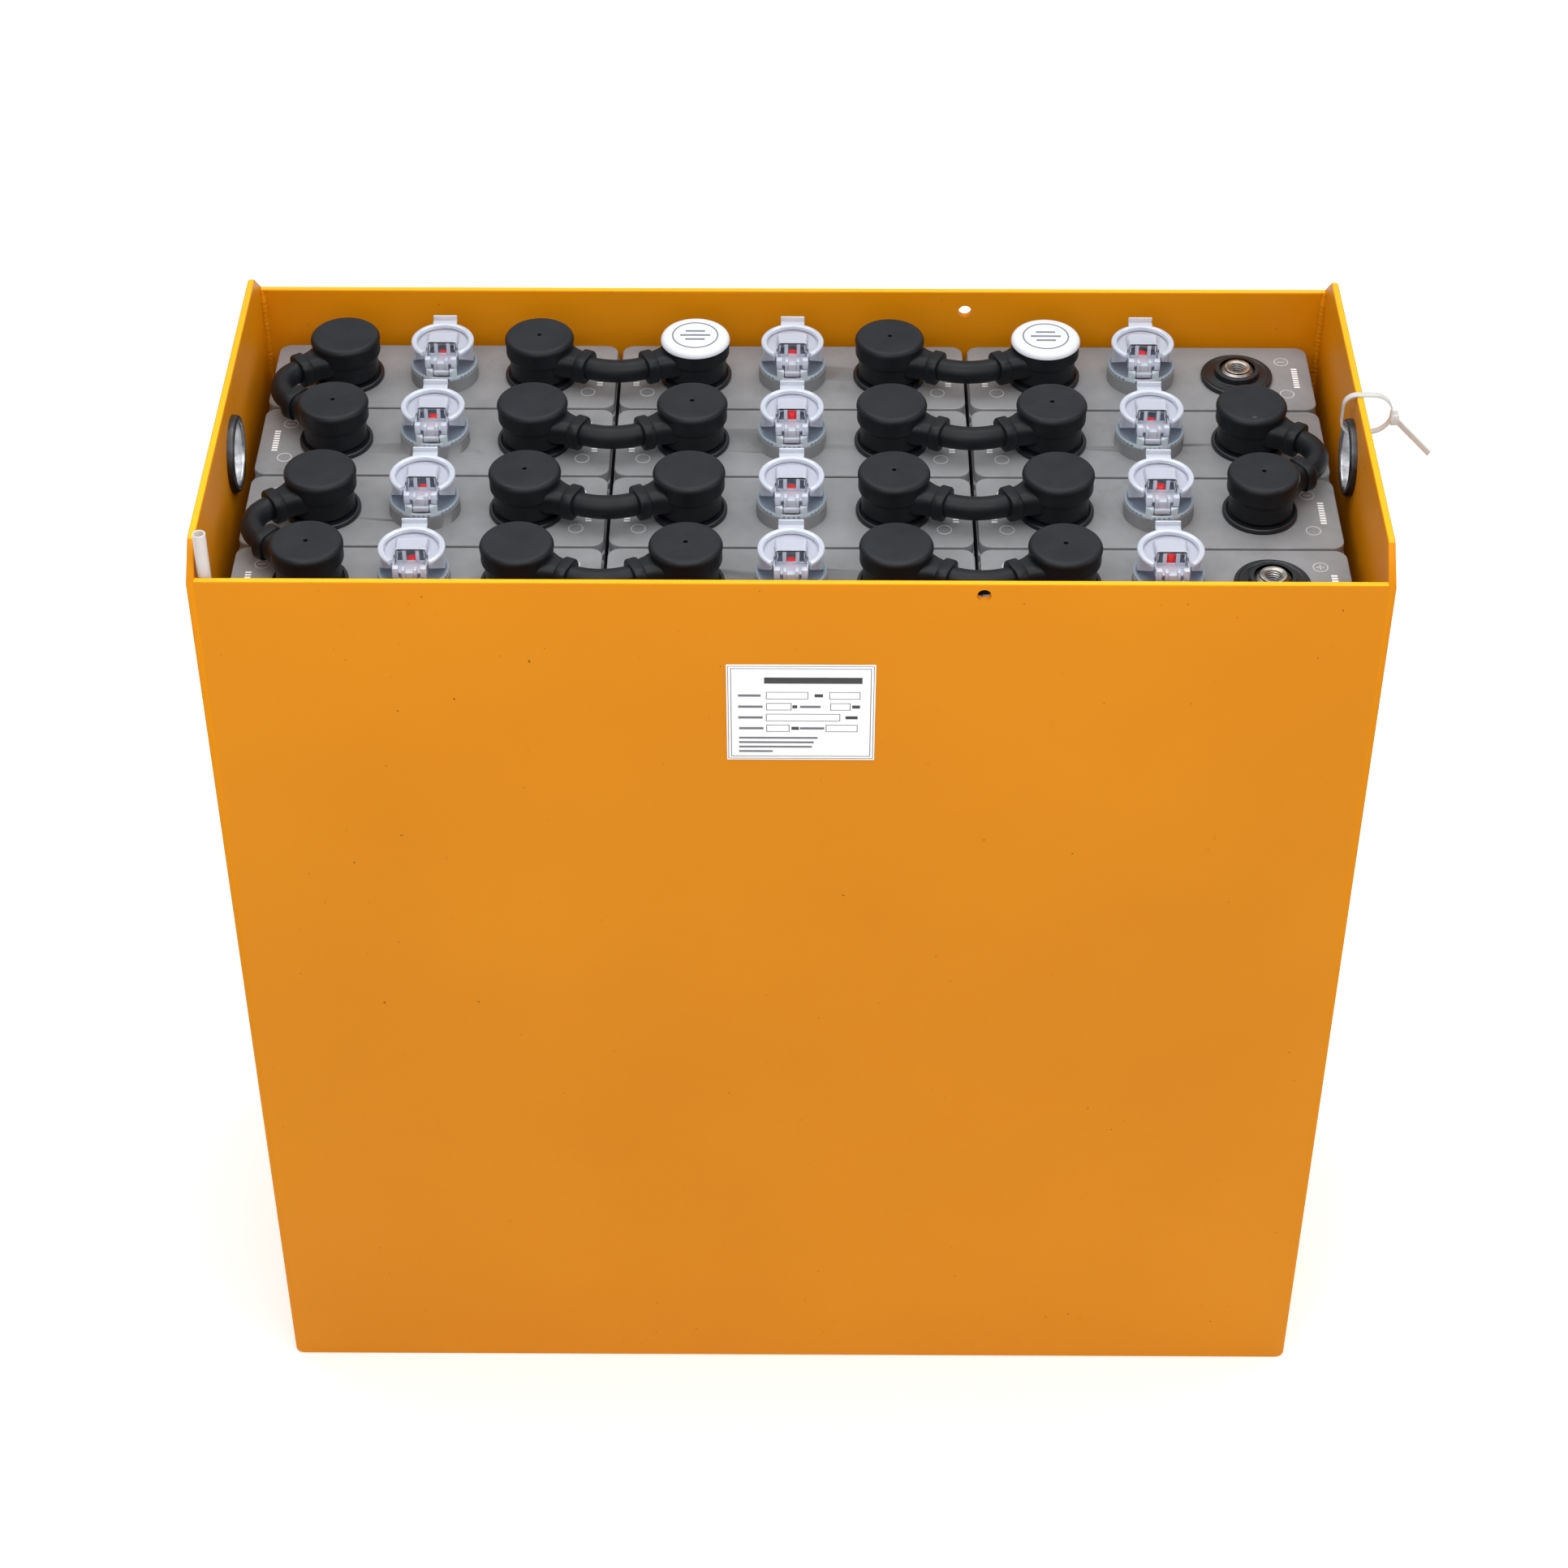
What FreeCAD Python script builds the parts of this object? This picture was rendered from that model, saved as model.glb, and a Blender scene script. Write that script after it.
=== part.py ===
"""Forklift traction battery, 24 V: twelve lead-acid cells in a welded steel tray, linked in series.

Millimetres, +Z up, X along the tray, Y across it. The origin is the middle of the tray's underside.
"""
import FreeCAD, Part
import math
import os
from FreeCAD import Vector

# Tray, made of sheet steel round the block of cells
END_HEIGHT = 627.0
SIDE_DROP = 16.0
END_CLEARANCE = 9.0
SIDE_CLEARANCE = 6.5
SHEET = 4.0
INSIDE_BEND = 1.0
SLOPE_RUN = 18.0
PEAK_ROUND = 6.0
RIM_ROUND = 1.2
WALL_HOLE_DIAMETER = 7.5
WALL_HOLE_X = 100.0
FRONT_HOLE_DROP = 7.3
BACK_HOLE_DROP = 13.4

# Lifting eyes, pressed into the end walls
EYE_BORE = 34.0
EYE_WALL = 2.0
EYE_LIP = 2.5
EYE_PROUD = 4.0
EYE_FLARE = 1.8
EYE_DROP = 35.0
PRESS_GAP = 0.05

# Cells
CELL_LENGTH = 198.0
CELL_WIDTH = 65.0
CELL_COLUMNS = 3
CELL_ROWS = 4
COLUMN_GAP = 2.0
ROW_GAP = 1.0
LID_DROP = 49.0
JAR_WALL = 2.5
JAR_FLOOR = 3.0
JAR_CORNER = 4.0
LID_PLATE = 5.0
LID_DEPTH = 7.0
LID_CORNER = 7.0
LID_STEP = 0.4
LID_EDGE = 0.8
MUD_RIB_HEIGHT = 20.0
MUD_RIB_WIDTH = 4.0
MUD_RIB_COUNT = 4
BOSS_DIAMETER = 38.5
BOSS_HEIGHT = 8.0
FILLER_BORE = 25.0

# Plates and poles
POLE_INSET = 43.5
POLE_DIAMETER = 20.0
POLE_TIP_DIAMETER = 14.7
POLE_TIP_HEIGHT = 8.0
POLE_CONE = 3.0
POLE_SPIGOT = 1.0
THREAD_DIAMETER = 10.0
THREAD_CORE = 8.5
THREAD_DEPTH = 22.0
POSITIVE_COUNT = 3
NEGATIVE_THICKNESS = 5.0
PLATE_GAP = 1.8
PACK_CLEARANCE = 1.7
PLATE_CLEARANCE = 4.5
PLATE_TOP_DROP = 76.0
STRAP_DROP = 62.0
STRAP_THICKNESS = 7.0
STRAP_WIDTH = 24.0
LUG_WIDTH = 14.0

# Rubber pole seals
SEAL_DIAMETER = 41.0
SEAL_THICKNESS = 3.0
SEAL_COLLAR_DIAMETER = 25.4
SEAL_COLLAR_HEIGHT = 7.0
SEAL_NECK_DEPTH = 8.0
SEAL_GAP = 0.15
SEAL_CHAMFER = 1.0

# Cell links: cable with a moulded head at each end
CABLE_DIAMETER = 13.0
CABLE_HEIGHT = 14.5
HEAD_FOOT_DIAMETER = 35.0
HEAD_CUP_DIAMETER = 38.6
HEAD_CUP_START = 15.0
HEAD_TOP = 24.5
HEAD_CAVITY_DIAMETER = 31.0
HEAD_SOCKET_DIAMETER = 26.4
LUG_PLATE = 4.0
NOZZLE_REACH = 32.0
NOZZLE_COLLAR = 6.0
NOZZLE_WIDTH = 18.5
NOZZLE_HEIGHT = 16.0
NOZZLE_ROUND = 5.0
ROOT_WIDTH = 21.5
ROOT_HEIGHT = 15.0
WAIST_WIDTH = 15.5
WAIST_HEIGHT = 14.0
FOOT_CHAMFER = 1.0
BOLT_PLAY = 0.5
ROW_LINK_ANGLE = 25.0
STEP_LINK_ANGLE = 55.0
SEAT_GAP = 0.3

# Link bolts
BOLT_HEAD_FLATS = 17.0
BOLT_HEAD_HEIGHT = 6.4
WASHER_DIAMETER = 21.0
WASHER_THICKNESS = 2.0
BOLT_REACH = 16.0

# Caps over the bolts
CAP_DIAMETER = 39.5
CAP_THICKNESS = 3.5
CAP_EDGE = 2.4
CAP_SKIRT_DIAMETER = 30.4
CAP_SKIRT_WALL = 1.5
CAP_SKIRT_DEPTH = 5.0
TEST_HOLE_DIAMETER = 2.0

# Vent plugs, with a hinged lid and a level float
PLUG_DIAMETER = 37.6
PLUG_THICKNESS = 1.6
PLUG_RIM_WIDTH = 1.3
PLUG_RIM_HEIGHT = 1.0
PLUG_NECK_WALL = 1.6
PLUG_NECK_DEPTH = 16.0
GUIDE_BORE = 6.4
GUIDE_WALL = 1.3
GUIDE_DEPTH = 30.0
HINGE_Y = -16.0
HINGE_HEIGHT = 13.2
PIN_DIAMETER = 2.4
PIN_GAP = 0.05
BARREL_DIAMETER = 4.8
LUG_FRONT = 1.7
KNUCKLE_WIDTH = 8.6
LUG_GAP = 0.4
HINGE_WIDTH = 17.4

LID_WALL = 1.3
LID_SKIRT_DIAMETER = 34.4
LID_RING_DIAMETER = 35.8
LID_RING_WIDTH = 3.4
LID_RING_HEIGHT = 2.4
LID_RING_ROUND = 1.0
LID_RING_DISH = 0.6
LID_HEIGHT = 25.0
LID_RECESS = 3.2
LID_CHORD = -12.0
DOME_WIDTH = 19.5
DOME_BACK = 6.0
DOME_RISE = 0.8
DOME_ROUND = 4.0
WINDOW_FOOT = 15.0
WINDOW_HEIGHT = 8.0
WINDOW_WIDTH = 5.3
PILLAR_WIDTH = 1.9
SIDE_WINDOW_WIDTH = 3.4
TAB_WIDTH = 14.5
TAB_REACH = 3.4
TAB_THICKNESS = 1.6
TAB_LIP = 4.0
LID_OPEN_CLEARANCE = 0.3

FLOAT_ROD = 5.3
FLOAT_BULB_DIAMETER = 17.0
FLOAT_BULB_HEIGHT = 20.0
FLOAT_TOP_HIGH = 22.0
FLOAT_TIP_ROUND = 1.0
# Height of each float's tip above the cell lid as it stands, row by row from the back
FLOAT_TIPS = ((16.5, 17.5, 17.5), (17.5, 21.0, 16.5), (16.5, 17.0, 18.5), (17.5, 17.0, 21.5))

# Suction tube in the front left corner
TUBE_DIAMETER = 7.0
TUBE_WALL = 1.0
TUBE_PROUD = 9.0
TUBE_FOOT_GAP = 3.0
TUBE_WALL_GAP = 1.0

# Cable tie through the right lifting eye, over the rim
TIE_WIDTH = 3.6
TIE_THICKNESS = 1.1
TIE_Y = 8.0
TIE_INSIDE = 6.0
TIE_OUTSIDE = 16.0
TIE_DROP = 23.0
TIE_CORNER = 6.5
TIE_STRAIGHT = 1.0
TIE_LOCK_DROP = 14.3
TIE_HEAD = (4.4, 5.6, 6.0)
TIE_TAIL = (18.0, -18.0, -11.0)

# Worked out from the sizes above
COLUMN_PITCH = CELL_LENGTH + COLUMN_GAP
ROW_PITCH = CELL_WIDTH + ROW_GAP
HALF_LENGTH = (CELL_COLUMNS * COLUMN_PITCH - COLUMN_GAP) / 2 + END_CLEARANCE + SHEET
HALF_WIDTH = (CELL_ROWS * ROW_PITCH - ROW_GAP) / 2 + SIDE_CLEARANCE + SHEET
SIDE_HEIGHT = END_HEIGHT - SIDE_DROP
EYE_Z = END_HEIGHT - EYE_DROP
LID_TOP = END_HEIGHT - LID_DROP
POLE_OFFSET = CELL_LENGTH / 2 - POLE_INSET
PLATE_LENGTH = CELL_LENGTH - 2 * (JAR_WALL + PLATE_CLEARANCE)
NEGATIVES = (POSITIVE_COUNT + 1) * NEGATIVE_THICKNESS
PACK_WIDTH = CELL_WIDTH - 2 * (JAR_WALL + PACK_CLEARANCE)
POSITIVE_THICKNESS = (PACK_WIDTH - NEGATIVES - 2 * POSITIVE_COUNT * PLATE_GAP) / POSITIVE_COUNT

# Cuts and joins reach past the faces they meet by OVERLAP, and SAME is the least difference in a place
OVERLAP = 1.0
SAME = 1e-6
UP = Vector(0, 0, 1)
ALONG = Vector(1, 0, 0)


def cylinder(diameter, z0, z1, x=0.0, y=0.0):
    return Part.makeCylinder(diameter / 2, z1 - z0, Vector(x, y, z0), UP)


def box(x0, x1, y0, y1, z0, z1):
    return Part.makeBox(x1 - x0, y1 - y0, z1 - z0, Vector(x0, y0, z0))


def prism(points, travel):
    """Solid swept straight from a closed outline of corner points."""
    corners = [Vector(*p) for p in points]
    return Part.Face(Part.makePolygon(corners + corners[:1])).extrude(Vector(*travel))


def turned(profile, x=0.0, y=0.0):
    """Solid turned round a vertical axis from (radius, height) corners."""
    corners = [Vector(r, 0, z) for r, z in profile]
    face = Part.Face(Part.makePolygon(corners + corners[:1]))
    solid = face.revolve(Vector(0, 0, 0), UP, 360)
    solid.translate(Vector(x, y, 0))
    return solid


def edges_where(shape, test):
    return [e for e in shape.Edges if test(e)]


def runs(edge, direction):
    """True for an edge whose ends lie on a line along a direction."""
    ends = [v.Point for v in edge.Vertexes]
    return len(ends) == 2 and (ends[1] - ends[0]).cross(direction).Length < SAME


def upright(edge):
    return runs(edge, UP)


def crosses(edge):
    """True for an edge along Y."""
    return runs(edge, Vector(0, 1, 0))


def level_at(edge, z):
    return all(abs(v.Z - z) < SAME for v in edge.Vertexes)


def at_x(edge, x):
    return all(abs(v.X - x) < SAME for v in edge.Vertexes)


def rounded_block(length, width, corner, z0, z1):
    block = box(-length / 2, length / 2, -width / 2, width / 2, z0, z1)
    return block.makeFillet(corner, edges_where(block, upright))


def cell_centre(row, column):
    """Rows run from the back, columns from the left."""
    x = (column - (CELL_COLUMNS - 1) / 2) * COLUMN_PITCH
    y = ((CELL_ROWS - 1) / 2 - row) * ROW_PITCH
    return x, y


def series_order():
    """The cells in the order of the current, from the positive terminal: row by row, turning at each end."""
    order = []
    for turn, row in enumerate(reversed(range(CELL_ROWS))):
        columns = list(range(CELL_COLUMNS))
        if turn % 2 == 0:
            columns.reverse()
        order += [(row, column) for column in columns]
    return order


def positive_side(row):
    """+1 where the positive pole is to the right of the plug, -1 where it is to the left."""
    return 1 if (CELL_ROWS - 1 - row) % 2 == 0 else -1


def pole_centre(row, column, side):
    x, y = cell_centre(row, column)
    return x + side * POLE_OFFSET, y


def link_ends():
    """Pole centres that each link joins: the negative pole of one cell and the positive of the next."""
    order = series_order()
    pairs = []
    for (row_a, col_a), (row_b, col_b) in zip(order, order[1:]):
        start = pole_centre(row_a, col_a, -positive_side(row_a))
        end = pole_centre(row_b, col_b, positive_side(row_b))
        pairs.append((start, end))
    return pairs


# Tray

def tray_channel():
    """Floor and both end walls, bent from one sheet."""
    outer = box(-HALF_LENGTH, HALF_LENGTH, -HALF_WIDTH, HALF_WIDTH, 0, END_HEIGHT)
    bends = edges_where(outer, lambda e: level_at(e, 0) and crosses(e))
    outer = outer.makeFillet(INSIDE_BEND + SHEET, bends)
    inner_x = HALF_LENGTH - SHEET
    inner = box(-inner_x, inner_x, -HALF_WIDTH, HALF_WIDTH, SHEET, END_HEIGHT)
    inner = inner.makeFillet(INSIDE_BEND, edges_where(inner, lambda e: level_at(e, SHEET) and crosses(e)))
    channel = outer.cut(inner).common(end_outline())
    holes = Part.makeCylinder(EYE_BORE / 2 + EYE_WALL, 2 * HALF_LENGTH, Vector(-HALF_LENGTH, 0, EYE_Z), ALONG)
    channel = channel.cut(holes)
    return channel.makeFillet(RIM_ROUND, edges_where(channel, on_rim))


def on_rim(edge):
    """True for the edges of an end wall's rim, from the slopes up."""
    ends = edge.Vertexes
    return min(v.Z for v in ends) > SIDE_HEIGHT - SAME and abs(ends[0].X - ends[-1].X) < SAME


def end_outline():
    """Block whose side view is that of the end walls: upper corners sloped, with rounded peaks."""
    shoulder = HALF_WIDTH - SLOPE_RUN
    side_view = [(-HALF_WIDTH, 0), (HALF_WIDTH, 0), (HALF_WIDTH, SIDE_HEIGHT), (shoulder, END_HEIGHT),
                 (-shoulder, END_HEIGHT), (-HALF_WIDTH, SIDE_HEIGHT)]
    block = prism([(-HALF_LENGTH, y, z) for y, z in side_view], (2 * HALF_LENGTH, 0, 0))
    peaks = edges_where(block, lambda e: level_at(e, END_HEIGHT) and runs(e, ALONG))
    return block.makeFillet(PEAK_ROUND, peaks)


def side_plate(side, hole_drop):
    """Front (side -1) or back (side +1) wall, welded between the end walls."""
    inner_x = HALF_LENGTH - SHEET
    faces = sorted((side * HALF_WIDTH, side * (HALF_WIDTH - SHEET)))
    plate = box(-inner_x, inner_x, faces[0], faces[1], SHEET, SIDE_HEIGHT)
    rim = edges_where(plate, lambda e: level_at(e, SIDE_HEIGHT) and runs(e, ALONG))
    plate = plate.makeFillet(RIM_ROUND, rim)
    plate = plate.makeFillet(INSIDE_BEND, edges_where(plate, lambda e: level_at(e, SHEET) and crosses(e)))
    place = Vector(WALL_HOLE_X, -HALF_WIDTH, SIDE_HEIGHT - hole_drop)
    return plate.cut(Part.makeCylinder(WALL_HOLE_DIAMETER / 2, 2 * HALF_WIDTH, place, Vector(0, 1, 0)))


def lifting_eye(side):
    """Flared steel ring in an end wall, flush outside and proud inside."""
    bore = EYE_BORE / 2
    seat = bore + EYE_WALL - PRESS_GAP
    lip = seat + EYE_LIP
    outside = HALF_LENGTH
    inside = HALF_LENGTH - SHEET
    face = inside - EYE_PROUD
    mid = EYE_FLARE * (1 - math.sqrt(0.5))
    edges = [
        Part.Arc(Vector(outside, 0, bore + EYE_FLARE), Vector(outside - mid, 0, bore + mid),
                 Vector(outside - EYE_FLARE, 0, bore)).toShape(),
        Part.LineSegment(Vector(outside - EYE_FLARE, 0, bore), Vector(face + EYE_FLARE, 0, bore)).toShape(),
        Part.Arc(Vector(face + EYE_FLARE, 0, bore), Vector(face + mid, 0, bore + mid),
                 Vector(face, 0, bore + EYE_FLARE)).toShape(),
        Part.LineSegment(Vector(face, 0, bore + EYE_FLARE), Vector(face, 0, lip - EYE_FLARE)).toShape(),
        Part.Arc(Vector(face, 0, lip - EYE_FLARE), Vector(face + mid, 0, lip - mid),
                 Vector(face + EYE_FLARE, 0, lip)).toShape(),
        Part.LineSegment(Vector(face + EYE_FLARE, 0, lip), Vector(inside, 0, lip)).toShape(),
        Part.LineSegment(Vector(inside, 0, lip), Vector(inside, 0, seat)).toShape(),
        Part.LineSegment(Vector(inside, 0, seat), Vector(outside, 0, seat)).toShape(),
    ]
    if seat - (bore + EYE_FLARE) > SAME:
        flat = Part.LineSegment(Vector(outside, 0, seat), Vector(outside, 0, bore + EYE_FLARE))
        edges.append(flat.toShape())
    ring = Part.Face(Part.Wire(edges)).revolve(Vector(0, 0, 0), ALONG, 360)
    if side < 0:
        ring.rotate(Vector(0, 0, 0), UP, 180)
    ring.translate(Vector(0, 0, EYE_Z))
    return ring


# Cells

def jar_and_lid():
    """Polypropylene jar with its lid welded on, hollow, with mud ribs on its floor."""
    shoulder = LID_TOP - LID_DEPTH
    jar = rounded_block(CELL_LENGTH, CELL_WIDTH, JAR_CORNER, SHEET, shoulder)
    lid = rounded_block(CELL_LENGTH - 2 * LID_STEP, CELL_WIDTH - 2 * LID_STEP, LID_CORNER, shoulder, LID_TOP)
    lid = lid.makeFillet(LID_EDGE, edges_where(lid, lambda e: level_at(e, LID_TOP)))
    boss = cylinder(BOSS_DIAMETER, LID_TOP - OVERLAP, LID_TOP + BOSS_HEIGHT)
    half_x = CELL_LENGTH / 2 - JAR_WALL
    half_y = CELL_WIDTH / 2 - JAR_WALL
    room = box(-half_x, half_x, -half_y, half_y, SHEET + JAR_FLOOR, LID_TOP - LID_PLATE)
    cell = jar.fuse([lid, boss]).cut(room).fuse(mud_ribs(half_y + JAR_WALL / 2))
    under = LID_TOP - LID_DEPTH - OVERLAP
    holes = [cylinder(FILLER_BORE, under, LID_TOP + BOSS_HEIGHT)]
    for side in (-1, 1):
        holes.append(cylinder(SEAL_COLLAR_DIAMETER, under, LID_TOP, side * POLE_OFFSET))
    return cell.cut(Part.makeCompound(holes)).removeSplitter()


def mud_ribs(reach):
    """Ribs across the jar's floor that carry the plates, sunk into floor and walls."""
    foot = SHEET + JAR_FLOOR / 2
    top = SHEET + JAR_FLOOR + MUD_RIB_HEIGHT
    ribs = []
    for rib in range(MUD_RIB_COUNT):
        x = (rib - (MUD_RIB_COUNT - 1) / 2) * PLATE_LENGTH / MUD_RIB_COUNT
        ribs.append(box(x - MUD_RIB_WIDTH / 2, x + MUD_RIB_WIDTH / 2, -reach, reach, foot, top))
    return ribs


def plate_group(row, positive):
    """Plates of one sign, joined by their strap, in a cell whose middle is at x = y = 0."""
    side = positive_side(row) if positive else -positive_side(row)
    pitch = (POSITIVE_THICKNESS + NEGATIVE_THICKNESS) / 2 + PLATE_GAP
    count = POSITIVE_COUNT if positive else POSITIVE_COUNT + 1
    thickness = POSITIVE_THICKNESS if positive else NEGATIVE_THICKNESS
    foot = SHEET + JAR_FLOOR + MUD_RIB_HEIGHT
    top = LID_TOP - PLATE_TOP_DROP
    strap_top = LID_TOP - STRAP_DROP
    x = side * POLE_OFFSET
    reach = (count - 1) * pitch + thickness / 2
    half_strap = STRAP_WIDTH / 2
    group = box(x - half_strap, x + half_strap, -reach, reach, strap_top - STRAP_THICKNESS, strap_top)
    for k in range(count):
        y = (k - (count - 1) / 2) * 2 * pitch
        plate = box(-PLATE_LENGTH / 2, PLATE_LENGTH / 2, y - thickness / 2, y + thickness / 2, foot, top)
        lug = box(x - LUG_WIDTH / 2, x + LUG_WIDTH / 2, y - thickness / 2, y + thickness / 2, top,
                  strap_top - OVERLAP)
        group = group.fuse(plate).fuse(lug)
    return group.removeSplitter()


def pole():
    """Lead pole with a tapped hole, cone-shaped under its tip."""
    foot = LID_TOP - STRAP_DROP
    tip = LID_TOP + POLE_TIP_HEIGHT
    body = turned([(0, foot), (POLE_DIAMETER / 2, foot), (POLE_DIAMETER / 2, tip - POLE_CONE),
                   (POLE_TIP_DIAMETER / 2, tip - POLE_SPIGOT), (POLE_TIP_DIAMETER / 2, tip), (0, tip)])
    return body.cut(cylinder(THREAD_CORE, tip - THREAD_DEPTH, tip + OVERLAP))


def pole_seal():
    """Rubber ring between pole and lid, with a wide flange and a collar above."""
    bore = POLE_DIAMETER / 2 + SEAL_GAP
    collar = SEAL_COLLAR_DIAMETER / 2
    neck = collar - PRESS_GAP
    flange = SEAL_DIAMETER / 2
    foot = LID_TOP - SEAL_NECK_DEPTH
    brim = LID_TOP + SEAL_THICKNESS
    top = LID_TOP + SEAL_COLLAR_HEIGHT
    return turned([(bore, foot), (neck, foot), (neck, LID_TOP), (flange, LID_TOP),
                   (flange, brim - SEAL_CHAMFER), (flange - SEAL_CHAMFER, brim), (collar, brim),
                   (collar, top), (bore, top)])


# Links

def lug_seat():
    return LID_TOP + POLE_TIP_HEIGHT


def head(x, y):
    """Moulded head without its hollows: foot, then a wider cup."""
    foot_z = LID_TOP + SEAL_THICKNESS + SEAT_GAP
    cup_z = LID_TOP + HEAD_CUP_START
    top = LID_TOP + HEAD_TOP
    foot = HEAD_FOOT_DIAMETER / 2
    cup = HEAD_CUP_DIAMETER / 2
    return turned([(0, foot_z), (foot - FOOT_CHAMFER, foot_z), (foot, foot_z + FOOT_CHAMFER),
                   (foot, cup_z - FOOT_CHAMFER), (cup, cup_z + FOOT_CHAMFER), (cup, top), (0, top)], x, y)


def head_hollows(x, y):
    """Socket over the seal's collar, bolt hole through the lug, and the cup over it."""
    seat = lug_seat()
    socket = cylinder(HEAD_SOCKET_DIAMETER, LID_TOP, seat, x, y)
    bolt_hole = cylinder(THREAD_DIAMETER + 2 * BOLT_PLAY, seat - OVERLAP, seat + LUG_PLATE + OVERLAP, x, y)
    cup = cylinder(HEAD_CAVITY_DIAMETER, seat + LUG_PLATE, LID_TOP + HEAD_TOP + OVERLAP, x, y)
    return [socket, bolt_hole, cup]


def section(centre, along, width, height):
    """Outline of a rounded rectangle square to a level direction."""
    across = Vector(-along.y, along.x, 0)
    straight_w = width / 2 - NOZZLE_ROUND
    straight_h = height / 2 - NOZZLE_ROUND
    bow = NOZZLE_ROUND * math.sqrt(0.5)
    edges = []
    for sx, sz in ((1, 1), (-1, 1), (-1, -1), (1, -1)):
        hub = centre + across * (sx * straight_w) + UP * (sz * straight_h)
        side = hub + across * (sx * NOZZLE_ROUND)
        end = hub + UP * (sz * NOZZLE_ROUND)
        middle = hub + across * (sx * bow) + UP * (sz * bow)
        corner = (side, end) if sx * sz > 0 else (end, side)
        edges.append((corner[0], middle, corner[1]))
    shape = []
    for (start, middle, end), following in zip(edges, edges[1:] + edges[:1]):
        shape.append(Part.Arc(start, middle, end).toShape())
        shape.append(Part.LineSegment(end, following[0]).toShape())
    return Part.Wire(shape)


def nozzle(centre, along):
    """Tapered sleeve from the head to a collar round the cable."""
    waist_reach = NOZZLE_REACH - NOZZLE_COLLAR
    root = section(centre + along * (HEAD_CAVITY_DIAMETER / 2), along, ROOT_WIDTH, ROOT_HEIGHT)
    waist = section(centre + along * waist_reach, along, WAIST_WIDTH, WAIST_HEIGHT)
    taper = Part.makeLoft([root, waist], True)
    collar_start = section(centre + along * waist_reach, along, NOZZLE_WIDTH, NOZZLE_HEIGHT)
    collar = Part.Face(collar_start).extrude(along * NOZZLE_COLLAR)
    return taper.fuse(collar)


def bow_cable(start, end, bulge):
    """Round cable on the arc from one nozzle's mouth to the other's."""
    path = Part.Wire(Part.Arc(start, (start + end) / 2 + bulge, end).toShape())
    tangent = path.Edges[0].tangentAt(path.Edges[0].FirstParameter)
    circle = Part.Wire(Part.Circle(start, tangent, CABLE_DIAMETER / 2).toShape())
    return path.makePipe(Part.Face(circle))


def link(start, end, angle):
    """One overmoulded link. It bows to its right, seen from its start, by the nozzles' angle."""
    z = LID_TOP + CABLE_HEIGHT
    a = Vector(start[0], start[1], z)
    b = Vector(end[0], end[1], z)
    line = (b - a).normalize()
    right = Vector(line.y, -line.x, 0)
    turn = math.radians(angle)
    out_a = line * math.cos(turn) + right * math.sin(turn)
    out_b = line * -math.cos(turn) + right * math.sin(turn)
    mouth_a = a + out_a * (NOZZLE_REACH - OVERLAP)
    mouth_b = b + out_b * (NOZZLE_REACH - OVERLAP)
    bulge = right * ((mouth_b - mouth_a).Length / 2 * math.tan(turn / 2))
    parts = [head(*end), nozzle(a, out_a), nozzle(b, out_b), bow_cable(mouth_a, mouth_b, bulge)]
    body = head(*start).fuse(parts)
    return body.cut(Part.makeCompound(head_hollows(*start) + head_hollows(*end)))


def link_bolt():
    """Hexagon bolt and its washer, as turned and clamped on the lug."""
    seat = lug_seat() + LUG_PLATE
    washer = cylinder(WASHER_DIAMETER, seat, seat + WASHER_THICKNESS)
    corner = BOLT_HEAD_FLATS / math.sqrt(3)
    base = seat + WASHER_THICKNESS
    corners = [(corner * math.cos(math.radians(60 * k)), corner * math.sin(math.radians(60 * k)), base)
               for k in range(6)]
    hexagon = prism(corners, (0, 0, BOLT_HEAD_HEIGHT))
    shank = cylinder(THREAD_CORE - 2 * PRESS_GAP, lug_seat() - BOLT_REACH, base)
    return washer.fuse([hexagon, shank]).removeSplitter()


def cap(test_hole):
    """Cap over the bolt: thin disc with a rounded edge and a skirt that plugs the head's cup."""
    foot = LID_TOP + HEAD_TOP
    disc = cylinder(CAP_DIAMETER, foot, foot + CAP_THICKNESS)
    disc = disc.makeFillet(CAP_EDGE, edges_where(disc, lambda e: level_at(e, foot + CAP_THICKNESS)))
    skirt = cylinder(CAP_SKIRT_DIAMETER, foot - CAP_SKIRT_DEPTH, foot + OVERLAP)
    inside = CAP_SKIRT_DIAMETER - 2 * CAP_SKIRT_WALL
    hollow = cylinder(inside, foot - CAP_SKIRT_DEPTH - OVERLAP, foot + OVERLAP)
    solid = disc.fuse(skirt).cut(hollow)
    if test_hole:
        solid = solid.cut(cylinder(TEST_HOLE_DIAMETER, foot - OVERLAP, foot + CAP_THICKNESS + OVERLAP))
    return solid.removeSplitter()


# Vent plugs

def plug_seat():
    return LID_TOP + BOSS_HEIGHT


def hinge_cylinder(diameter, x0, x1):
    return Part.makeCylinder(diameter / 2, x1 - x0, Vector(x0, HINGE_Y, LID_TOP + HINGE_HEIGHT), ALONG)


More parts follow.
